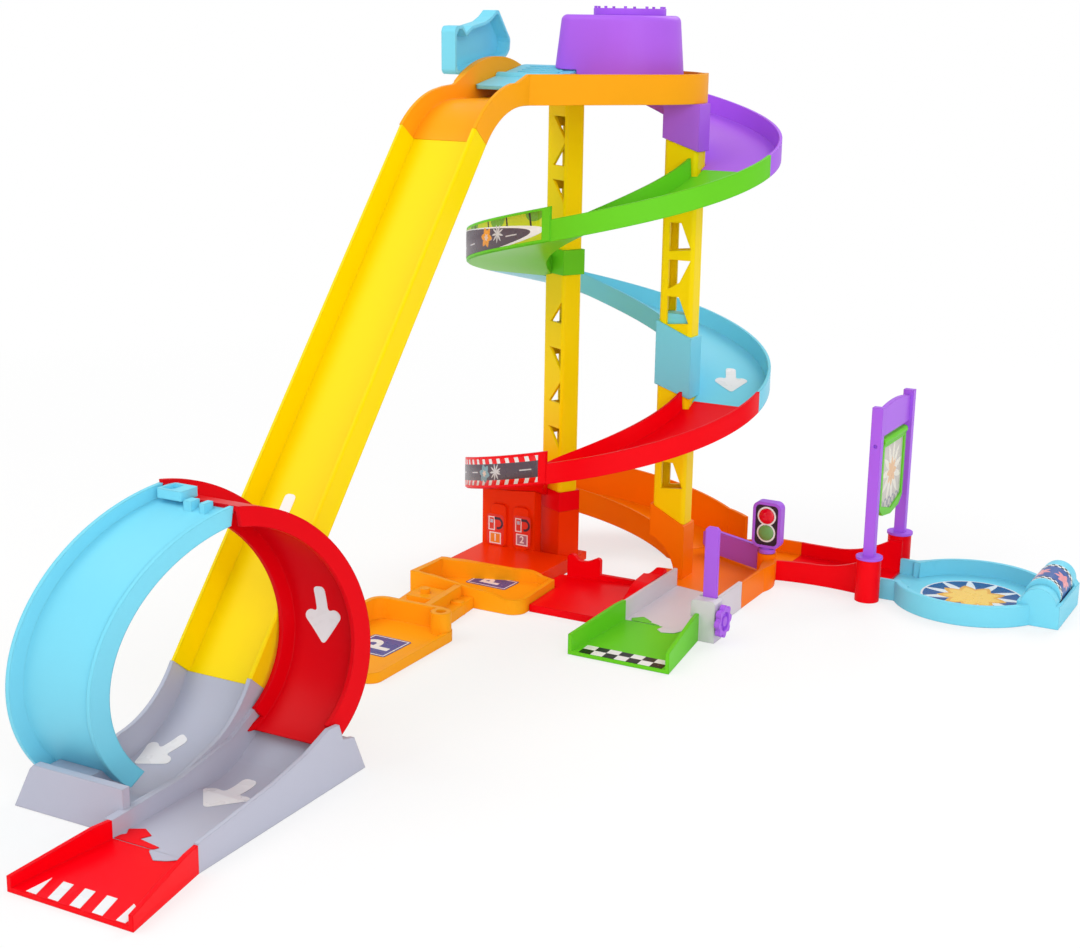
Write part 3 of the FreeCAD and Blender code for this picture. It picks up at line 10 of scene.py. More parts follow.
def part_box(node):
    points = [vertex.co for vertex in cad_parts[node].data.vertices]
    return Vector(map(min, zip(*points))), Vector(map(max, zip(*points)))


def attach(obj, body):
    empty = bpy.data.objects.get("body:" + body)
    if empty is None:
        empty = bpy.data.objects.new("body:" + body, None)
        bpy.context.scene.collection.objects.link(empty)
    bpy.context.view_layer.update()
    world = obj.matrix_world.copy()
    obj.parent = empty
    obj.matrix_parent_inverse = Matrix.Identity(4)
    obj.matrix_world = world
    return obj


bl_info = {
    "name": "Toy Race Track Looks",
    "version": (1, 0, 0),
    "blender": (4, 5, 0),
    "location": "View3D > Sidebar > Track",
    "description": "Dresses the packed race track with moulded plastic, stickers and a studio",
    "category": "Object",
}

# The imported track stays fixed; every piece made here is placed from its boxes.
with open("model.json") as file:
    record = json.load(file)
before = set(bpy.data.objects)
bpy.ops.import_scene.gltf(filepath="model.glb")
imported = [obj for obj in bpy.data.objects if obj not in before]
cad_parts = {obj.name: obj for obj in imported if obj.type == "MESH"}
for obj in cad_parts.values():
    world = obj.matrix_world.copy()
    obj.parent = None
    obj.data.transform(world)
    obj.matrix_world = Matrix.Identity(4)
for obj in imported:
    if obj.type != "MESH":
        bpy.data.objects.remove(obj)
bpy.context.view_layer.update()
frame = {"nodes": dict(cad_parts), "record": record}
nodes = frame["nodes"]

MM = 0.001
COLUMN_OFFSET = 54 * MM
FILM = 0.25 * MM

# A sticker is laid this many film thicknesses above the face under it.
FILM_LIFT = 1.1

# Places in millimetres from the foot of the tower's axis.
ABOVE_FLOOR = 20
BAY_FLOOR = 6.05
STATION_FACE = -24.6
LANE_SEAM = -127
BASE_SEAM = -616
SEAM_GAP = 0.2
DISH_CENTRE = (293, 77, 4.05)
DISH_STICKER = 42
ROAD_RADIUS = 128.2
CAMERA_PLACE = (627.7, -1311.0, 465.9)

# Directions and angles.
CAMERA_AHEAD = (-0.456, 0.853, -0.254)
CAMERA_ROLL = math.radians(-0.94)
UPRIGHT = (math.radians(90), 0, 0)

# The record's slot of each node, and the nodes whose shade differs from their slot's.
SLOT_OF_NODE = {part["node"]: part["material_slot"] for part in frame["record"]["subparts"]}
OWN_SHADES = {
    "top_platform": "amber", "parking_pad_front": "amber", "pad_link": "amber",
    # Painted shade: the rear loop half takes a darker copy of the red, standing in for the shade inside
    # the loop.
    # Painted shade: the station block takes a redder, darker copy of the orange, standing in for its
    # shade.
    "parking_pad_side": "amber", "station_block": "red_orange", "loop_rear_half": "deep_red",
    "loop_base": "cool_grey"}


def middle(node):
    """The centre of a node's box."""
    low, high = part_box(node)
    return (low + high) / 2


TOWER = middle("right_upper_column") - Vector((COLUMN_OFFSET, 0, 0))


def spot(x, y, z):
    """A place given in millimetres from the foot of the tower's axis."""
    return Vector((TOWER.x + x * MM, TOWER.y + y * MM, z * MM))


# Sizes and colours that a user would change


class TrackColours(bpy.types.PropertyGroup):
    """Colours of the plastics and the prints."""

    orange: FloatVectorProperty(
        name="Orange", description="Junction and last run", subtype="COLOR", size=3,
        min=0, max=1, default=(1.0, 0.21, 0.0))
    amber: FloatVectorProperty(
        name="Amber", description="Platform, bays and their link", subtype="COLOR", size=3,
        min=0, max=1, default=(1.0, 0.40, 0.008))
    # Painted shade: a redder, darker copy of the orange that stands in for the shade on the station block.
    red_orange: FloatVectorProperty(
        name="Red orange", description="Station block", subtype="COLOR", size=3,
        min=0, max=1, default=(0.92, 0.045, 0.0))
    purple: FloatVectorProperty(
        name="Purple", description="Dome, top run, diverter, boom and gate", subtype="COLOR", size=3,
        min=0, max=1, default=(0.44, 0.13, 0.85))
    light_blue: FloatVectorProperty(
        name="Light blue", description="Launcher, middle run, dish and front loop half",
        subtype="COLOR", size=3, min=0, max=1, default=(0.21, 0.70, 0.88))
    green: FloatVectorProperty(
        name="Green", description="Upper run, lane lip and banner frame", subtype="COLOR", size=3,
        min=0, max=1, default=(0.15, 0.64, 0.02))
    red: FloatVectorProperty(
        name="Red", description="Lower run, bridge, plaza and end lip",
        subtype="COLOR", size=3, min=0, max=1, default=(0.94, 0.0, 0.006))
    # Painted shade: a darker copy of the red that stands in for the shade on the rear loop half.
    deep_red: FloatVectorProperty(
        name="Deep red", description="Rear loop half", subtype="COLOR", size=3, min=0, max=1,
        default=(0.76, 0.0, 0.005))
    yellow: FloatVectorProperty(
        name="Yellow", description="Columns and straight ramp", subtype="COLOR", size=3,
        min=0, max=1, default=(1.0, 0.74, 0.0))
    grey: FloatVectorProperty(
        name="Grey", description="Lane and its housing", subtype="COLOR", size=3,
        min=0, max=1, default=(0.70, 0.67, 0.72))
    cool_grey: FloatVectorProperty(
        name="Cool grey", description="Loop base", subtype="COLOR", size=3, min=0, max=1,
        default=(0.50, 0.51, 0.61))
    road: FloatVectorProperty(
        name="Road", description="Dark road of the printed panels", subtype="COLOR", size=3,
        min=0, max=1, default=(0.10, 0.07, 0.095))
    paper: FloatVectorProperty(
        name="Paper", description="White of the printed film", subtype="COLOR", size=3,
        min=0, max=1, default=(0.88, 0.87, 0.88))
    sign_blue: FloatVectorProperty(
        name="Sign blue", description="Field of the parking signs", subtype="COLOR", size=3,
        min=0, max=1, default=(0.075, 0.075, 0.33))


class TrackSizes(bpy.types.PropertyGroup):
    """Sizes of the surface detail."""

    edge: FloatProperty(
        name="Edge round", description="Radius that the moulded edges appear to have",
        default=0.0011, min=0, unit="LENGTH")
    grain: FloatProperty(
        name="Grain depth", description="Depth of the mould's fine grain", default=0.00003,
        min=0, unit="LENGTH")
    film: FloatProperty(
        name="Film", description="Thickness of a sticker", default=FILM, min=0, unit="LENGTH")
    sticker_steps: IntProperty(
        name="Sticker steps", description="Faces along a curved sticker", default=48, min=8)


class TrackStage(bpy.types.PropertyGroup):
    """Studio values."""

    floor_shade: FloatVectorProperty(
        name="Floor", description="Colour of the floor", subtype="COLOR", size=3, min=0, max=1,
        default=(0.93, 0.93, 0.93))
    key_power: FloatProperty(
        name="Key lamp", description="Power of the large lamp above", default=22, min=0)
    fill_power: FloatProperty(
        name="Fill lamp", description="Power of the lamps on the right and at the back", default=21, min=0)
    sky: FloatProperty(
        name="Sky", description="Strength of the even light from all sides", default=0.62, min=0)
    sheen: FloatProperty(
        name="Sheen", description="Strength of the reflections on the plastic", default=0.09, min=0)
    lens: FloatProperty(
        name="Lens", description="Focal length of the camera in millimetres", default=58.57, min=1)


# Shader maths written as expressions


class Value:
    """One output of a node; arithmetic on it adds Math nodes."""

    def __init__(self, finish, socket):
        self.finish = finish
        self.socket = socket

    def maths(self, operation, *values):
        return self.finish.node("ShaderNodeMath", {"operation": operation}, values)

    def __add__(self, other):
        return self.maths("ADD", self, other)

    def __sub__(self, other):
        return self.maths("SUBTRACT", self, other)

    def __rsub__(self, other):
        return self.maths("SUBTRACT", other, self)

    def __mul__(self, other):
        return self.maths("MULTIPLY", self, other)

    def __truediv__(self, other):
        return self.maths("DIVIDE", self, other)

    def __mod__(self, other):
        return self.maths("FLOORED_MODULO", self, other)

    def __lt__(self, other):
        return self.maths("LESS_THAN", self, other)

    def __gt__(self, other):
        return self.maths("GREATER_THAN", self, other)

    def __and__(self, other):
        return self.maths("MINIMUM", self, other)

    def __or__(self, other):
        return self.maths("MAXIMUM", self, other)

    def __abs__(self):
        return self.maths("ABSOLUTE", self)

    __radd__ = __add__
    __rmul__ = __mul__

    def root(self):
        return self.maths("SQRT", self)

    def angle(self, other):
        """The angle of the point whose height is this value and whose reach is the other."""
        return self.maths("ARCTAN2", self, other)


class Finish:
    """A material whose nodes come from one method."""

    def __init__(self, name):
        self.material = bpy.data.materials.new(name)
        self.material.use_nodes = True
        self.tree = self.material.node_tree
        self.surface = self.tree.nodes["Principled BSDF"]
        self.place = self.node("ShaderNodeTexCoord", output="Object")

    def node(self, kind, settings=None, inputs=(), output=0):
        """Adds a node, sets it up, feeds its sockets and returns one of its outputs."""
        node = self.tree.nodes.new(kind)
        for name, setting in (settings or {}).items():
            if name == "stops":
                self.stops(node.color_ramp, setting)
            else:
                setattr(node, name, setting)
        named = inputs.items() if isinstance(inputs, dict) else enumerate(inputs)
        for key, value in named:
            self.feed(node.inputs[key], value)
        return Value(self, node.outputs[output])

    def stops(self, ramp, colours):
        while len(ramp.elements) < len(colours):
            ramp.elements.new(0.5)
        for element, (place, colour) in zip(ramp.elements, colours):
            element.position = place
            element.color = (*colour, 1)

    def feed(self, socket, value):
        if isinstance(value, Value):
            self.tree.links.new(value.socket, socket)
        elif socket.type == "RGBA" and len(value) == 3:
            socket.default_value = (*value, 1)
        else:
            socket.default_value = value

    def noise(self, scale, detail=2.0, stretch=(1, 1, 1)):
        place = self.node("ShaderNodeMapping", {"vector_type": "POINT"}, {
            "Vector": self.place, "Scale": stretch})
        return self.node("ShaderNodeTexNoise", {}, {
            "Vector": place, "Scale": scale, "Detail": detail})

    def mix(self, mask, low, high):
        """The low colour where the mask is 0 and the high one where it is 1."""
        node = self.tree.nodes.new("ShaderNodeMix")
        node.data_type = "RGBA"
        colours = [socket for socket in node.inputs if socket.type == "RGBA"]
        self.feed(node.inputs[0], mask)
        self.feed(colours[0], low)
        self.feed(colours[1], high)
        return Value(self, [socket for socket in node.outputs if socket.type == "RGBA"][0])

    def axes(self, centre, turn=(0, 0, 0)):
        """The three coordinates in millimetres about a centre, along turned axes."""
        place = self.node("ShaderNodeMapping", {"vector_type": "TEXTURE"}, {
            "Vector": self.place, "Location": centre, "Rotation": turn, "Scale": (MM, MM, MM)})
        split = self.tree.nodes.new("ShaderNodeSeparateXYZ")
        self.tree.links.new(place.socket, split.inputs[0])
        return [Value(self, output) for output in split.outputs]

    def moulded(self, colour, gloss=0.3, edge=None):
        """Moulded plastic: slight flow shade, fine grain, and edges that catch the light."""
        sizes = bpy.context.scene.track_sizes
        flow_scale, mottle_scale, grain_scale = 14, 160, 1400
        flow = self.noise(flow_scale, 3, (1, 1, 0.35))
        mottle = self.noise(mottle_scale, 2)
        shade = 0.955 + flow * 0.07 + mottle * 0.02
        tone = self.node("ShaderNodeVectorMath", {"operation": "SCALE"}, {
            "Vector": colour, "Scale": shade})
        self.feed(self.surface.inputs["Base Color"], tone)
        self.feed(self.surface.inputs["Roughness"], gloss - 0.04 + flow * 0.1 + mottle * 0.05)
        normal = self.node("ShaderNodeBevel", {"samples": 4}, {
            "Radius": sizes.edge if edge is None else edge})
        grain = self.noise(grain_scale, 2)
        bump = self.node("ShaderNodeBump", {}, {
            "Height": grain, "Strength": 0.25, "Distance": sizes.grain, "Normal": normal})
        self.feed(self.surface.inputs["Normal"], bump)
        sheen = bpy.context.scene.track_stage.sheen
        self.surface.inputs["IOR"].default_value = 1.49
        self.surface.inputs["Specular IOR Level"].default_value = sheen
        return self.material

    def printed(self, colour):
        """Printed film: ink with a faint unevenness under a smooth lacquer."""
        gloss = 0.24
        ripple = self.noise(90, 2)
        shade = 0.97 + ripple * 0.06
        tone = self.node("ShaderNodeVectorMath", {"operation": "SCALE"}, {
            "Vector": colour, "Scale": shade})
        self.feed(self.surface.inputs["Base Color"], tone)
        self.feed(self.surface.inputs["Roughness"], gloss + ripple * 0.08)
        bump = self.node("ShaderNodeBump", {}, {
            "Height": ripple, "Strength": 0.08, "Distance": 0.0001})
        self.feed(self.surface.inputs["Normal"], bump)
        self.surface.inputs["Specular IOR Level"].default_value = 0.3
        return self.material


# Modelling helpers


@contextmanager
def editing(piece):
    """Edit mode on one piece alone."""
    bpy.ops.object.select_all(action="DESELECT")
    piece.select_set(True)
    bpy.context.view_layer.objects.active = piece
    bpy.ops.object.mode_set(mode="EDIT")
    yield
    bpy.ops.object.mode_set(mode="OBJECT")


def start(kind, name, **place):
    """Adds a primitive by itself and names it."""
    bpy.ops.object.select_all(action="DESELECT")
    getattr(bpy.ops.mesh, "primitive_%s_add" % kind)(**place)
    piece = bpy.context.object
    piece.name = name
    return piece


def choose(piece, kind, test):
    """In edit mode, selects only the vertices or the faces whose middle passes the test."""
    bpy.ops.mesh.select_mode(type={"verts": "VERT", "faces": "FACE"}[kind])
    bpy.ops.mesh.select_all(action="DESELECT")
    bpy.ops.object.mode_set(mode="OBJECT")
    mesh = piece.data
    if kind == "verts":
        for vertex in mesh.vertices:
            vertex.select = test(vertex.co)
    else:
        for face in mesh.polygons:
            face.select = test(face.center)
    bpy.ops.object.mode_set(mode="EDIT")


def push(vector):
    bpy.ops.mesh.extrude_region_move(TRANSFORM_OT_translate={"value": vector})


def put(piece, centre, turn=(0, 0, 0)):
    """Moves and turns a piece modelled about the origin, and writes its place in its mesh."""
    piece.matrix_world = Matrix.Translation(centre) @ Euler(turn).to_matrix().to_4x4()
    bpy.ops.object.select_all(action="DESELECT")
    piece.select_set(True)
    bpy.context.view_layer.objects.active = piece
    bpy.ops.object.transform_apply(location=True, rotation=True, scale=True)


def apply_modifier(piece, kind, **settings):
    bpy.ops.object.select_all(action="DESELECT")
    piece.select_set(True)
    bpy.context.view_layer.objects.active = piece
    modifier = piece.modifiers.new(kind.title(), kind)
    for name, value in settings.items():
        setattr(modifier, name, value)
    bpy.ops.object.modifier_apply(modifier=modifier.name)


def outwards(piece):
    with editing(piece):
        bpy.ops.mesh.select_all(action="SELECT")
        bpy.ops.mesh.normals_make_consistent(inside=False)


def dress(piece, material, body):
    """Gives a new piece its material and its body."""
    piece.data.materials.clear()
    piece.data.materials.append(material)
    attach(piece, body)


def film_plate(name, wide, tall, corner, centre, turn=(0, 0, 0)):
    """A flat sticker with round corners, modelled flat and then put in place."""
    thick = bpy.context.scene.track_sizes.film
    piece = start("plane", name, size=1)
    with editing(piece):
        bpy.ops.transform.resize(value=(wide * MM, tall * MM, 1))
        bpy.ops.mesh.select_mode(type="VERT")
        bpy.ops.mesh.select_all(action="SELECT")
        bpy.ops.mesh.bevel(offset=corner * MM, segments=5, affect="VERTICES")
        bpy.ops.mesh.select_all(action="SELECT")
        push((0, 0, thick))
        bpy.ops.mesh.select_all(action="SELECT")
        bpy.ops.mesh.normals_make_consistent(inside=False)
    put(piece, centre, turn)
    return piece


def wrap(piece, node, axis, backwards):
    """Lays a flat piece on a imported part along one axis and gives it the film's thickness."""
    thick = bpy.context.scene.track_sizes.film
    apply_modifier(
        piece, "SHRINKWRAP", target=nodes[node], wrap_method="PROJECT",
        use_project_x=axis == "X", use_project_y=axis == "Y", use_project_z=axis == "Z",
        use_negative_direction=backwards, use_positive_direction=not backwards,
        offset=thick * FILM_LIFT)
    apply_modifier(piece, "SOLIDIFY", thickness=thick, offset=0)


def outline_plate(name, points, centre, turn, node, axis, backwards, corner=0.0, rows=0):
    """A film cut along an outline in millimetres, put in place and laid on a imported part."""
    piece = start("plane", name, size=1)
    first = Vector((*points[0], 0)) * MM
    with editing(piece):
        choose(piece, "verts", lambda at: at.x < 0 and at.y < 0)
        bpy.ops.mesh.select_all(action="INVERT")
        bpy.ops.mesh.delete(type="VERT")
        bpy.ops.mesh.select_all(action="SELECT")
        bpy.ops.transform.translate(value=first - Vector((-0.5, -0.5, 0)))
        for here, there in zip(points, points[1:]):
            push(((there[0] - here[0]) * MM, (there[1] - here[1]) * MM, 0))
        bpy.ops.mesh.select_all(action="SELECT")
        bpy.ops.mesh.edge_face_add()
        if corner:
            bpy.ops.mesh.bevel(offset=corner * MM, segments=4, affect="VERTICES")
        span = max(at[1] for at in points)
        for cut in range(-rows, rows + 1):
            bpy.ops.mesh.select_all(action="SELECT")
            bpy.ops.mesh.bisect(plane_co=(0, span * cut / (rows + 1) * MM, 0), plane_no=(0, 1, 0))
    put(piece, centre, turn)
    wrap(piece, node, axis, backwards)
    outwards(piece)
    return piece


def arrow_outline(wide, long, head, stem):
    """An arrow that points along +Y, with a barbed head."""
    barb = long * (0.5 - head)
    right = [(stem / 2, -long / 2), (stem / 2, barb - long * 0.03), (wide * 0.34, barb - long * 0.09),
             (wide * 0.5, barb + long * 0.04)]
    left = [(-x, y) for x, y in reversed(right)]
    return right + [(0, long / 2)] + left


def letter_plate(name, text, tall, bold, centre, turn):
    """A printed letter or number as a thin solid."""
    bpy.ops.object.select_all(action="DESELECT")
    bpy.ops.object.text_add()
    piece = bpy.context.object
    piece.name = name
    piece.data.body = text
    piece.data.align_x = "CENTER"
    piece.data.align_y = "CENTER"
    piece.data.size = tall * MM
    piece.data.offset = bold * MM
    piece.data.extrude = bpy.context.scene.track_sizes.film / 2
    bpy.ops.object.convert(target="MESH")
    piece = bpy.context.object
    put(piece, centre, turn)
    return piece


def curved_strip(name, radius, low, tall, angle, span, rise):
    """A sticker wound about the tower's axis: an edge turned and lifted, then thickened."""
    sizes = bpy.context.scene.track_sizes
    piece = start("plane", name, size=1)
    with editing(piece):
        choose(piece, "verts", lambda at: at.x < 0)
        bpy.ops.mesh.delete(type="VERT")
        bpy.ops.mesh.select_all(action="SELECT")
        bpy.ops.transform.resize(value=(0, tall * MM, 1), center_override=(0, 0, 0))
        bpy.ops.transform.rotate(value=-math.pi / 2, orient_axis="X", center_override=(0, 0, 0))
        bpy.ops.transform.translate(value=(radius * MM, 0, tall / 2 * MM))
    ends = [vertex.co.z for vertex in piece.data.vertices]
    lift = low * MM - min(ends)
    with editing(piece):
        bpy.ops.mesh.select_all(action="SELECT")
        bpy.ops.transform.translate(value=(0, 0, lift))
        bpy.ops.transform.rotate(
            value=-math.radians(angle), orient_axis="Z", center_override=(0, 0, 0))
    apply_modifier(
        piece, "SCREW", axis="Z", angle=math.radians(span), screw_offset=rise * MM,
        steps=sizes.sticker_steps, render_steps=sizes.sticker_steps, use_smooth_shade=True)
    outwards(piece)
    apply_modifier(piece, "SOLIDIFY", thickness=sizes.film, offset=0)
    outwards(piece)
    put(piece, Vector((TOWER.x, TOWER.y, 0)))
    return piece


# Patterns


def wall_axes(finish, low, rise, span, begin, radius):
    """Distance along and height above the lower edge of a strip wound about the tower."""
    x, y, z = finish.axes(Vector((TOWER.x, TOWER.y, 0)))
    turn = (y.angle(x) + 2 * math.pi) % (2 * math.pi) - math.radians(begin)
    return turn * radius, z - low - turn * (rise / math.radians(span))


def bend_print(finish, along, up, tall, length):
    """A dark road that narrows to a point between a white edge line and a lime field."""
    colours = bpy.context.scene.track_colours
    paper = tuple(colours.paper)
    height = (up - tall * 0.34) / (tall * 0.78)
    reach = height * height + along / (length * 0.95)
    outside = reach > 1
    line = abs(reach - 1.03) < 0.035
    dash = (abs(along % 30 - 8) < 6) & (abs(up - tall * 0.34) < 0.5)
    cross = (abs(along - length * 0.22) < 0.5) & (up > tall * 0.25)
    post = (abs((along + up * 0.15) % 24 - 12) < 0.9) & (up > tall * 0.52)
    bush = ((up - tall) * (up - tall) * 1.6 + (along % 40 - 22) * (along % 40 - 22)).root() < 9
    field = finish.mix(bush, (0.58, 0.68, 0.01), (0.17, 0.42, 0.02))
    field = finish.mix(post, field, (0.05, 0.04, 0.02))
    colour = finish.mix(dash | cross, colours.road, (0.6, 0.58, 0.6))
    colour = finish.mix(outside, colour, field)
    return finish.mix(line, colour, paper)


def kerb_print(finish, along, up, tall, length):
    """A dark road between two kerbs of slanted red and white blocks."""
    colours = bpy.context.scene.track_colours
    paper = tuple(colours.paper)
    kerb = abs(up - tall / 2) > tall / 2 - 4.2
    block = ((along + abs(up - tall / 2) * 0.35) % 10.5) < 4.2
    dash = (abs(along % 34 - 6) < 6) & (abs(up - tall * 0.5) < 0.5)
    colour = finish.mix(dash, colours.road, (0.6, 0.58, 0.6))
    return finish.mix(kerb, colour, finish.mix(block, tuple(colours.red), paper))


def star_mask(u, v, points, inner, outer, twist=0.0):
    """1 inside a star with straight-sided points."""
    reach = (u * u + v * v).root()
    wave = abs(((v.angle(u) + twist) * (points / (2 * math.pi))) % 1 - 0.5) * 2
    return reach < inner + wave * (outer - inner)


# Pieces


class PlasticsOperator(bpy.types.Operator):
    """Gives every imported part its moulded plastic"""

    bl_idname = "track.plastics"
    bl_label = "Moulded Plastics"

    def execute(self, context):
        colours = context.scene.track_colours
        shades = {name: tuple(getattr(colours, name)) for name in (
            "orange", "amber", "red_orange", "purple", "light_blue", "green", "red", "deep_red",
            "yellow", "grey", "cool_grey")}
        materials = {name: Finish("moulded_" + name).moulded(shade) for name, shade in shades.items()}
        materials["dark_face"] = self.face()
        materials["lamp_red"] = self.lamp("red_lens", (0.80, 0.0, 0.02))
        materials["lamp_green"] = self.lamp("green_lens", (0.16, 0.38, 0.10))
        for name, node in nodes.items():
            slot = OWN_SHADES.get(name, SLOT_OF_NODE[name])
            if slot in materials:
                node.data.materials.clear()
                node.data.materials.append(materials[slot])
        return {"FINISHED"}

    def lamp(self, name, colour):
        finish = Finish(name)
        material = finish.moulded(colour, gloss=0.12, edge=0.0003)
        finish.surface.inputs["Coat Weight"].default_value = 0.6
        return material

    def face(self):
        """The dark face of the light with a white ring round each lamp."""
        finish = Finish("face_film")
        rings = None
        for lamp in ("red_lamp", "green_lamp"):
            x, _, z = finish.axes(middle(lamp))
            ring = abs((x * x + z * z).root() - 7.5) < 0.75
            rings = ring if rings is None else rings | ring
        paper = tuple(bpy.context.scene.track_colours.paper)
        return finish.printed(finish.mix(rings, (0.03, 0.012, 0.03), paper))


class SeamsOperator(bpy.types.Operator):
    """Lays the interlocking tongues where the lips meet their lanes"""

    bl_idname = "track.seams"
    bl_label = "Seam Tongues"

    corner = 0.7

    def execute(self, context):
        colours = context.scene.track_colours
        shades = {name: tuple(getattr(colours, name)) for name in (
            "grey", "cool_grey", "green", "red")}
        tongues = (
            ("red_tongue", "red", "red", "loop_base", (
                (-16, BASE_SEAM + SEAM_GAP), (-15.7, -611), (-13.3, -608), (-16.4, -602.6),
                (-8, -597.7), (0.9, -602.9), (-2.5, -609.2), (14.6, -612.2),
                (12.5, BASE_SEAM + SEAM_GAP))),
            ("end_notch", "cool_grey", "grey", "end_ramp", (
                (12.3, BASE_SEAM - SEAM_GAP), (11.7, -618.1), (20.8, -625.4), (28.3, -622.4),
                (36, BASE_SEAM - SEAM_GAP))),
            ("green_tongue", "green", "green", "finish_track", (
                (77.9, LANE_SEAM + SEAM_GAP), (75.9, -121.5), (83.1, -114.5), (93.5, -121.9),
                (91.4, -123.1), (102.6, LANE_SEAM + SEAM_GAP))),
            ("lane_notch", "grey", "grey", "finish_ramp", (
                (104.6, LANE_SEAM - SEAM_GAP), (105.7, -128.1), (103.6, -134.6), (109.1, -139.3),
                (118.7, -136.2), (121.5, -131), (125, LANE_SEAM - SEAM_GAP))),
        )
        for name, shade, slot, node, outline in tongues:
            middle_x = sum(x for x, y in outline) / len(outline)
            middle_y = sum(y for x, y in outline) / len(outline)
            points = [(x - middle_x, y - middle_y) for x, y in outline]
            piece = outline_plate(name, points, spot(middle_x, middle_y, ABOVE_FLOOR), (0, 0, 0),
                                  node, "Z", True, self.corner)
            dress(piece, Finish(name + "_plastic").moulded(shades[shade]), "track")
        return {"FINISHED"}


class ArrowsOperator(bpy.types.Operator):
    """Sticks the white arrows on the ramp, the loop and the light blue run"""

    bl_idname = "track.arrows"
    bl_label = "Arrow Stickers"

    def execute(self, context):
        paper = Finish("arrow_film").printed(tuple(context.scene.track_colours.paper))
        slope, right_angle = math.radians(50), math.radians(90)
        head, stem, corner, rows = 0.52, 0.29, 0.1, 16
        places = (
            ("ramp_arrow", 30, 40, spot(-58.5, -395.5, 140.5), (-slope, 0, math.radians(180)),
             "straight_ramp", "Z", True),
            ("entry_arrow", 30, 36, spot(-67, -515.5, 40), (0, 0, math.radians(154)),
             "loop_base", "Z", True),
            ("exit_arrow", 37, 46, spot(3, -536, 30), (0, 0, math.radians(179)),
             "loop_base", "Z", True),
            ("loop_arrow", 29, 38, spot(9.8, -452, 94), (-right_angle, math.radians(-6.8), 0),
             "loop_rear_half", "Y", False),
            ("run_arrow", 29, 39, spot(86.5, 38.3, 205), (0, 0, math.radians(-156)),
             "spiral_middle_run", "Z", True),
        )
        for name, wide, long, centre, turn, node, axis, backwards in places:
            piece = outline_plate(name, arrow_outline(wide, long, head, wide * stem), centre, turn,
                                  node, axis, backwards, wide * corner, rows)
            dress(piece, paper, "track")
        return {"FINISHED"}


class SignsOperator(bpy.types.Operator):
    """Sticks the parking signs in the bays and the numbered labels on the pumps"""

    bl_idname = "track.signs"
    bl_label = "Parking and Pump Signs"

    def execute(self, context):
        colours = context.scene.track_colours
        paper = Finish("letter_ink").printed(tuple(colours.paper))
        bays = (
            ("front", 38.5, 24, spot(-63, -100, BAY_FLOOR), math.radians(-2)),
            ("side", 34, 37, spot(-60, -275, BAY_FLOOR), math.radians(-2)),
        )
        for name, wide, tall, centre, turn in bays:
            field = film_plate("parking_sign_" + name, wide, tall, 2, centre, (0, 0, turn))
            dress(field, self.field("parking_field_" + name, wide, tall, centre, turn), "track")
            top = centre + Vector((0, 0, 1.3 * FILM))
            letter = letter_plate("parking_letter_" + name, "P", tall * 0.95, 0.9, top,
                                  (0, 0, turn + math.radians(90)))
            dress(letter, paper, "track")
        label_wide, label_tall, label_corner, digit_tall, digit_drop = 17, 28, 3, 9, 7.5
        ink = Finish("pump_ink").printed((0.9, 0.9, 0.88))
        for number, x, z, box_shade in (("1", -103.5, 26.5, (0.85, 0.3, 0.03)),
                                        ("2", -76.8, 28.5, (0.42, 0.22, 0.3))):
            centre = spot(x, STATION_FACE, z)
            plate = film_plate("pump_label_" + number, label_wide, label_tall, label_corner, centre,
                               UPRIGHT)
            dress(plate, self.pump("pump_print_" + number, centre, UPRIGHT, box_shade), "track")
            place = centre + Vector((0, -1.2 * FILM, -digit_drop * MM))
            digit = letter_plate("pump_number_" + number, number, digit_tall, 0.2, place, UPRIGHT)
            dress(digit, ink, "track")
        return {"FINISHED"}

    def field(self, name, wide, tall, centre, turn):
        colours = bpy.context.scene.track_colours
        finish = Finish(name)
        u, v = finish.axes(centre, (0, 0, turn))[:2]
        inset = 2.2
        edge = (abs(u) > wide / 2 - inset) | (abs(v) > tall / 2 - inset)
        rim = (abs(u) > wide / 2 - inset / 2) | (abs(v) > tall / 2 - inset / 2)
        colour = finish.mix(edge, tuple(colours.sign_blue), tuple(colours.paper))
        return finish.printed(finish.mix(rim, colour, tuple(colours.sign_blue)))

    def pump(self, name, centre, turn, box_shade):
        """A pump with a dark hose above a numbered box, outlined in white on red."""
        finish = Finish(name)
        u, v = finish.axes(centre, turn)[:2]
        paper = tuple(bpy.context.scene.track_colours.paper)
        drop = (u - 2.5) * (u - 2.5) + (v - 6) * (v - 6)
        hose = abs(drop.root() - 4.4) < 1.0
        hose = hose & (u > 1.5)
        nozzle = (abs(u - 2.2) < 3) & (abs(v - 10.4) < 1.2)
        pump_edge = (abs(u + 3.6) < 3.2) & (abs(v - 5.5) < 6.2)
        pump_body = (abs(u + 3.6) < 2.2) & (abs(v - 5.5) < 5.2)
        screen = (abs(u + 3.6) < 1.4) & (abs(v - 7.6) < 1.6)
        frame_edge = (abs(u) < 5.8) & (abs(v + 7.5) < 5.2)
        frame_body = (abs(u) < 4.7) & (abs(v + 7.5) < 4.1)
        colour = finish.mix(pump_edge | frame_edge, (0.80, 0.04, 0.02), paper)
        colour = finish.mix(pump_body, colour, (0.72, 0.05, 0.03))
        colour = finish.mix(screen, colour, (0.5, 0.62, 0.75))
        colour = finish.mix(hose | nozzle, colour, (0.05, 0.03, 0.06))
        return finish.printed(finish.mix(frame_body, colour, box_shade))


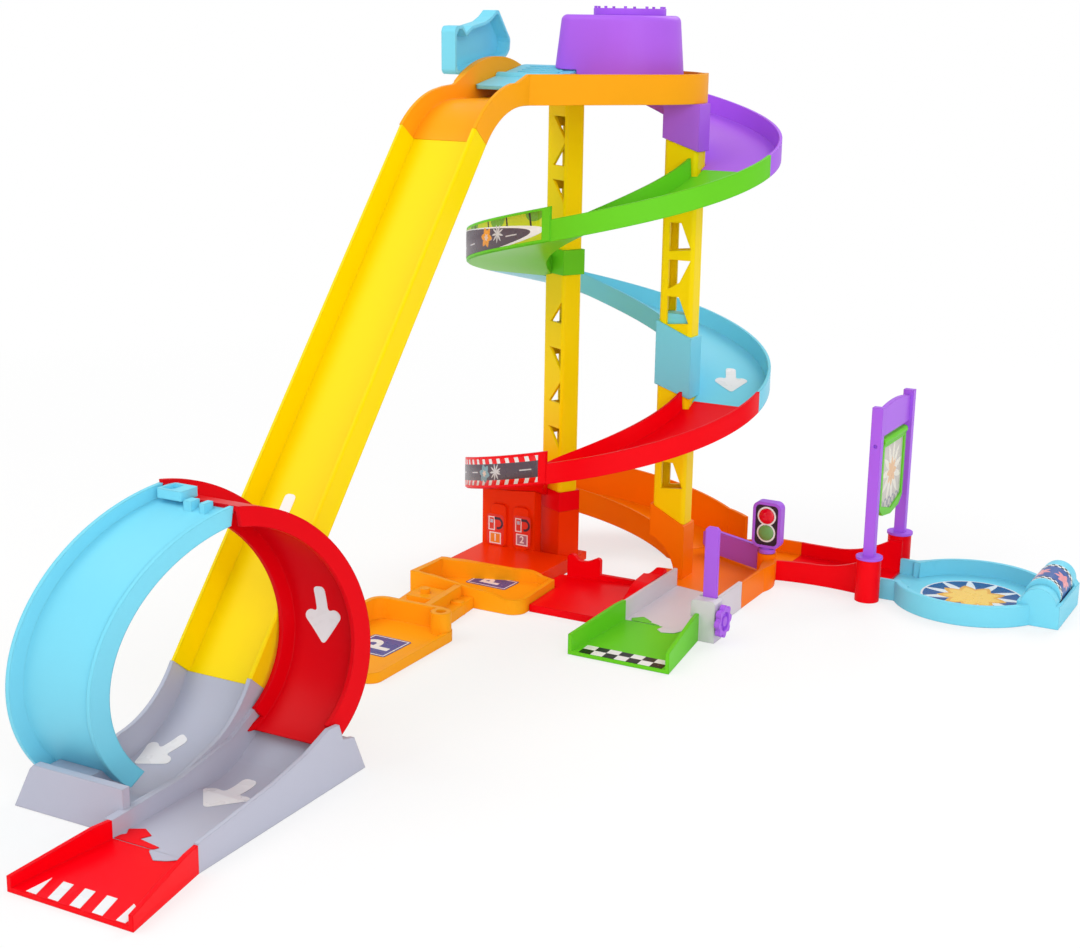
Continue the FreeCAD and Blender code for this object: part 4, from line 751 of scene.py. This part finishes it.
class PanelsOperator(bpy.types.Operator):
    """Sticks the printed roads on the raised walls of the green and red runs"""

    bl_idname = "track.panels"
    bl_label = "Wall Panels"

    def execute(self, context):
        tall, span, begin = 22, 84, 183
        length = math.radians(span) * ROAD_RADIUS
        margin, half_turn, badge_along, badge_up = 3, 180, 0.67, 0.45
        walls = (
            ("green", 250, 94, bend_print, (0.85, 0.33, 0.01)),
            ("red", 56, 99, kerb_print, (0.22, 0.36, 0.42)),
        )
        for name, run_low, rise, print_of, badge_shade in walls:
            low = run_low + margin + rise * (begin - half_turn) / half_turn
            climb = rise * span / half_turn
            strip = curved_strip("road_panel_" + name, ROAD_RADIUS + 0.15, low, tall, begin, span,
                                 climb)
            finish = Finish("road_print_" + name)
            along, up = wall_axes(finish, low, climb, span, begin, ROAD_RADIUS)
            colour = print_of(finish, along, up, tall, length)
            u, v = along - length * badge_along, up - tall * badge_up
            splash = star_mask(u - 16, v - 1, 9, 1.5, 7.5, 0.3)
            colour = finish.mix(splash, colour, (0.62, 0.6, 0.62))
            colour = finish.mix(star_mask(u, v, 6, 5.2, 8.5, 0.2), colour, badge_shade)
            colour = finish.mix(star_mask(u, v, 6, 1.6, 3.2, 0.2), colour, (0.75, 0.55, 0.45))
            dress(strip, finish.printed(colour), "track")
        return {"FINISHED"}


class StripesOperator(bpy.types.Operator):
    bl_idname = "track.stripes"
    bl_label = "Checker and Stripes"

    def execute(self, context):
        colours = context.scene.track_colours
        paper = tuple(colours.paper)
        wide, deep, columns = 68, 15, 7
        corners = [(-wide / 2, -deep / 2), (wide / 2, -deep / 2), (wide / 2, deep / 2),
                   (-wide / 2, deep / 2)]
        centre = spot(105, -196.1, ABOVE_FLOOR)
        strip = outline_plate("checker_strip", corners, centre, (0, 0, 0), "finish_ramp", "Z", True)
        finish = Finish("checker_print")
        u, v = finish.axes(centre)[:2]
        odd = ((u + wide / 2) / (wide / columns)) % 2 > 1
        flip = abs(odd - (v > 0))
        dress(strip, finish.printed(finish.mix(flip, (0.008, 0.008, 0.01), paper)), "track")
        white = Finish("stripe_print").printed(paper)
        side, reach, slant = 3.6, 8.5, -4.5
        first, last = 0, 4
        for i in range(last + 1):
            points = [(-side, -reach), (side, -reach), (side + slant, reach), (slant - side, reach)]
            if i == first:
                points = points[:3]
            if i == last:
                points = [(1 - side, -reach), (side, -reach), (side, reach - 5),
                          (slant - side + 3, reach)]
            place = spot(-14.5 + 15.5 * i, -674.5, ABOVE_FLOOR)
            piece = outline_plate("lip_stripe_%d" % i, points, place, (0, 0, 0), "end_ramp", "Z",
                                  True)
            dress(piece, white, "track")
        return {"FINISHED"}


class DishPrintOperator(bpy.types.Operator):
    """Sticks the sunburst on the dish and prints the drum and the banner"""

    bl_idname = "track.prints"
    bl_label = "Dish, Drum and Banner Prints"

    def execute(self, context):
        self.dish()
        self.drum()
        self.banner()
        return {"FINISHED"}

    def dish(self):
        centre = spot(*DISH_CENTRE)
        disc = start("cylinder", "dish_sticker", vertices=96, radius=DISH_STICKER * MM, depth=FILM)
        with editing(disc):
            choose(disc, "faces", lambda at: at.z > 0)
            bpy.ops.mesh.inset(thickness=1.5 * MM)
            bpy.ops.transform.translate(value=(0, 0, FILM / 4))
        put(disc, centre)
        finish = Finish("sunburst_print")
        u, v = finish.axes(centre)[:2]
        paper = tuple(bpy.context.scene.track_colours.paper)
        haze = finish.noise(60, 3)
        sky = finish.mix(haze, (0.003, 0.05, 0.22), (0.006, 0.09, 0.34))
        colour = finish.mix(star_mask(u, v, 11, 9, 44, 0.4), sky, (0.8, 0.84, 0.86))
        colour = finish.mix(star_mask(u, v, 9, 20, 29, 0.75), colour, (0.84, 0.42, 0.03))
        colour = finish.mix(star_mask(u, v, 9, 16, 24, 0.75), colour, (0.95, 0.62, 0.10))
        colour = finish.mix((u * u + v * v).root() > DISH_STICKER - 1.7, colour, paper)
        dress(disc, finish.printed(colour), "track")

    def drum(self):
        low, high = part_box("roller_drum")
        centre = (low + high) / 2
        finish = Finish("drum_print")
        x, along, z = finish.axes(centre)
        radius, band_start, rim_start, square = 14, 15.5, 21, 2.75
        around = z.angle(x) * radius
        edge = abs(along) > band_start
        rim = abs(along) > rim_start
        squares = abs((((along + 100) / square) % 2 > 1) - ((around + 200) / square % 2 > 1))
        colour = finish.mix(star_mask(along, (around + 200) % 22 - 11, 7, 5, 10), (0.03, 0.1, 0.36),
                            (0.85, 0.32, 0.36))
        checker = finish.mix(squares, (0.02, 0.02, 0.02), (0.85, 0.85, 0.85))
        colour = finish.mix(edge, colour, checker)
        colour = finish.mix(rim, colour, tuple(bpy.context.scene.track_colours.light_blue))
        node = nodes["roller_drum"]
        node.data.materials.clear()
        node.data.materials.append(finish.printed(colour))

    def banner(self):
        low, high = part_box("banner_board")
        centre = (low + high) / 2
        finish = Finish("banner_print")
        _, y, z = finish.axes(centre)
        haze = finish.noise(50, 3)
        back = finish.mix(haze, (0.50, 0.46, 0.42), (0.74, 0.66, 0.58))
        rays = star_mask(y, z - 3, 11, 9, 27, 0.3)
        colour = finish.mix(rays, back, (0.86, 0.8, 0.68))
        colour = finish.mix(star_mask(y, z - 3, 8, 7, 13), colour, (0.85, 0.5, 0.25))
        square, top = 5, -18
        squares = abs((((y + 100) / square) % 2 > 1) - (((z + 100) / square) % 2 > 1))
        flag = (z < top) & (squares > 0.5)
        colour = finish.mix(flag, colour, (0.3, 0.28, 0.34))
        node = nodes["banner_board"]
        node.data.materials.clear()
        node.data.materials.append(finish.printed(colour))


class StageOperator(bpy.types.Operator):
    """Lays the floor, hangs the lamps and sets the camera"""

    bl_idname = "track.stage"
    bl_label = "Stage"

    def execute(self, context):
        self.floor()
        self.lamps()
        self.sky()
        self.camera()
        context.scene.view_settings.view_transform = "Standard"
        return {"FINISHED"}

    def floor(self):
        values = bpy.context.scene.track_stage
        wide, cuts, drop = 40, 8, 0.0003
        piece = start("plane", "floor", size=wide)
        with editing(piece):
            bpy.ops.mesh.subdivide(number_cuts=cuts)
            bpy.ops.transform.translate(value=(0, 0, -drop))
        put(piece, Vector((0, 0, 0)))
        finish = Finish("pale_floor")
        wash = finish.noise(3, 2)
        finish.feed(finish.surface.inputs["Base Color"], finish.mix(
            wash, tuple(values.floor_shade), (0.95, 0.95, 0.95)))
        finish.surface.inputs["Roughness"].default_value = 0.55
        camera_ray = finish.node("ShaderNodeLightPath", output="Is Camera Ray")
        glow = finish.node("ShaderNodeEmission", {}, {"Color": (1, 1, 1), "Strength": 1.0})
        x, y = finish.axes((0, 0, 0))[:2]
        far = finish.node("ShaderNodeMapRange", {}, {
            "Value": (x * x + y * y).root(), "From Min": 500, "From Max": 1500, "To Min": 0.68,
            "To Max": 1.0})
        mixed = finish.node("ShaderNodeMixShader", {}, {
            0: camera_ray * far, 1: Value(finish, finish.surface.outputs[0]), 2: glow})
        out = [node for node in finish.tree.nodes if node.type == "OUTPUT_MATERIAL"][0]
        finish.tree.links.new(mixed.socket, out.inputs["Surface"])
        piece.data.materials.append(finish.material)

    def lamps(self):
        values = bpy.context.scene.track_stage
        centre = Vector((0, 0, 0.2))
        for name, place, size, power in (
                ("key", Vector((-1.3, -1.1, 2.2)), 1.8, values.key_power),
                ("fill", Vector((1.6, -1.6, 1.1)), 2.0, values.fill_power),
                ("back", Vector((0.3, 1.9, 1.8)), 1.6, values.fill_power)):
            lamp = bpy.data.lights.new(name + "_lamp", "AREA")
            lamp.shape = "DISK"
            lamp.size = size
            lamp.energy = power
            item = bpy.data.objects.new(name + "_lamp", lamp)
            item.matrix_world = Matrix.Translation(place) @ (
                centre - place).to_track_quat("-Z", "Y").to_matrix().to_4x4()
            bpy.context.scene.collection.objects.link(item)

    def sky(self):
        world = bpy.data.worlds.new("studio")
        bpy.context.scene.world = world
        world.use_nodes = True
        tree = world.node_tree
        back = tree.nodes["Background"]
        back.inputs["Color"].default_value = (1, 1, 1, 1)
        seen = tree.nodes.new("ShaderNodeLightPath")
        strength = tree.nodes.new("ShaderNodeMapRange")
        strength.inputs["To Min"].default_value = bpy.context.scene.track_stage.sky
        strength.inputs["To Max"].default_value = 1.0
        tree.links.new(seen.outputs["Is Camera Ray"], strength.inputs["Value"])
        tree.links.new(strength.outputs[0], back.inputs["Strength"])

    def camera(self):
        data = bpy.data.cameras.new("photo_camera")
        data.lens = bpy.context.scene.track_stage.lens
        data.sensor_width = 36
        data.clip_end = 30
        item = bpy.data.objects.new("photo_camera", data)
        ahead = Vector(CAMERA_AHEAD).normalized()
        level = ahead.cross(Vector((0, 0, 1))).normalized()
        above = level.cross(ahead)
        up = above * math.cos(CAMERA_ROLL) + level * math.sin(CAMERA_ROLL)
        right = ahead.cross(up)
        turn = Matrix((right, up, -ahead)).transposed()
        item.matrix_world = Matrix.Translation(spot(*CAMERA_PLACE)) @ turn.to_4x4()
        bpy.context.scene.collection.objects.link(item)
        bpy.context.scene.camera = item


class TrackPanel(bpy.types.Panel):
    """Buttons for the track's looks"""

    bl_idname = "VIEW3D_PT_track"
    bl_label = "Toy Race Track"
    bl_space_type = "VIEW_3D"
    bl_region_type = "UI"
    bl_category = "Track"

    def draw(self, context):
        for group in (context.scene.track_colours, context.scene.track_sizes,
                      context.scene.track_stage):
            box = self.layout.box()
            for name in group.__annotations__:
                box.prop(group, name)
        for operator in OPERATORS:
            self.layout.operator(operator.bl_idname)


OPERATORS = (PlasticsOperator, SeamsOperator, ArrowsOperator, SignsOperator, PanelsOperator,
             StripesOperator, DishPrintOperator, StageOperator)
GROUPS = {"track_colours": TrackColours, "track_sizes": TrackSizes, "track_stage": TrackStage}


def register():
    for item in (*GROUPS.values(), *OPERATORS, TrackPanel):
        bpy.utils.register_class(item)
    for name, group in GROUPS.items():
        setattr(bpy.types.Scene, name, PointerProperty(type=group))


def unregister():
    for name in GROUPS:
        delattr(bpy.types.Scene, name)
    for item in (*GROUPS.values(), *OPERATORS, TrackPanel):
        bpy.utils.unregister_class(item)


def main():
    """Dresses the track."""
    register()
    for operator in OPERATORS:
        group, name = operator.bl_idname.split(".")
        getattr(getattr(bpy.ops, group), name)()


if __name__ == "__main__":
    main()
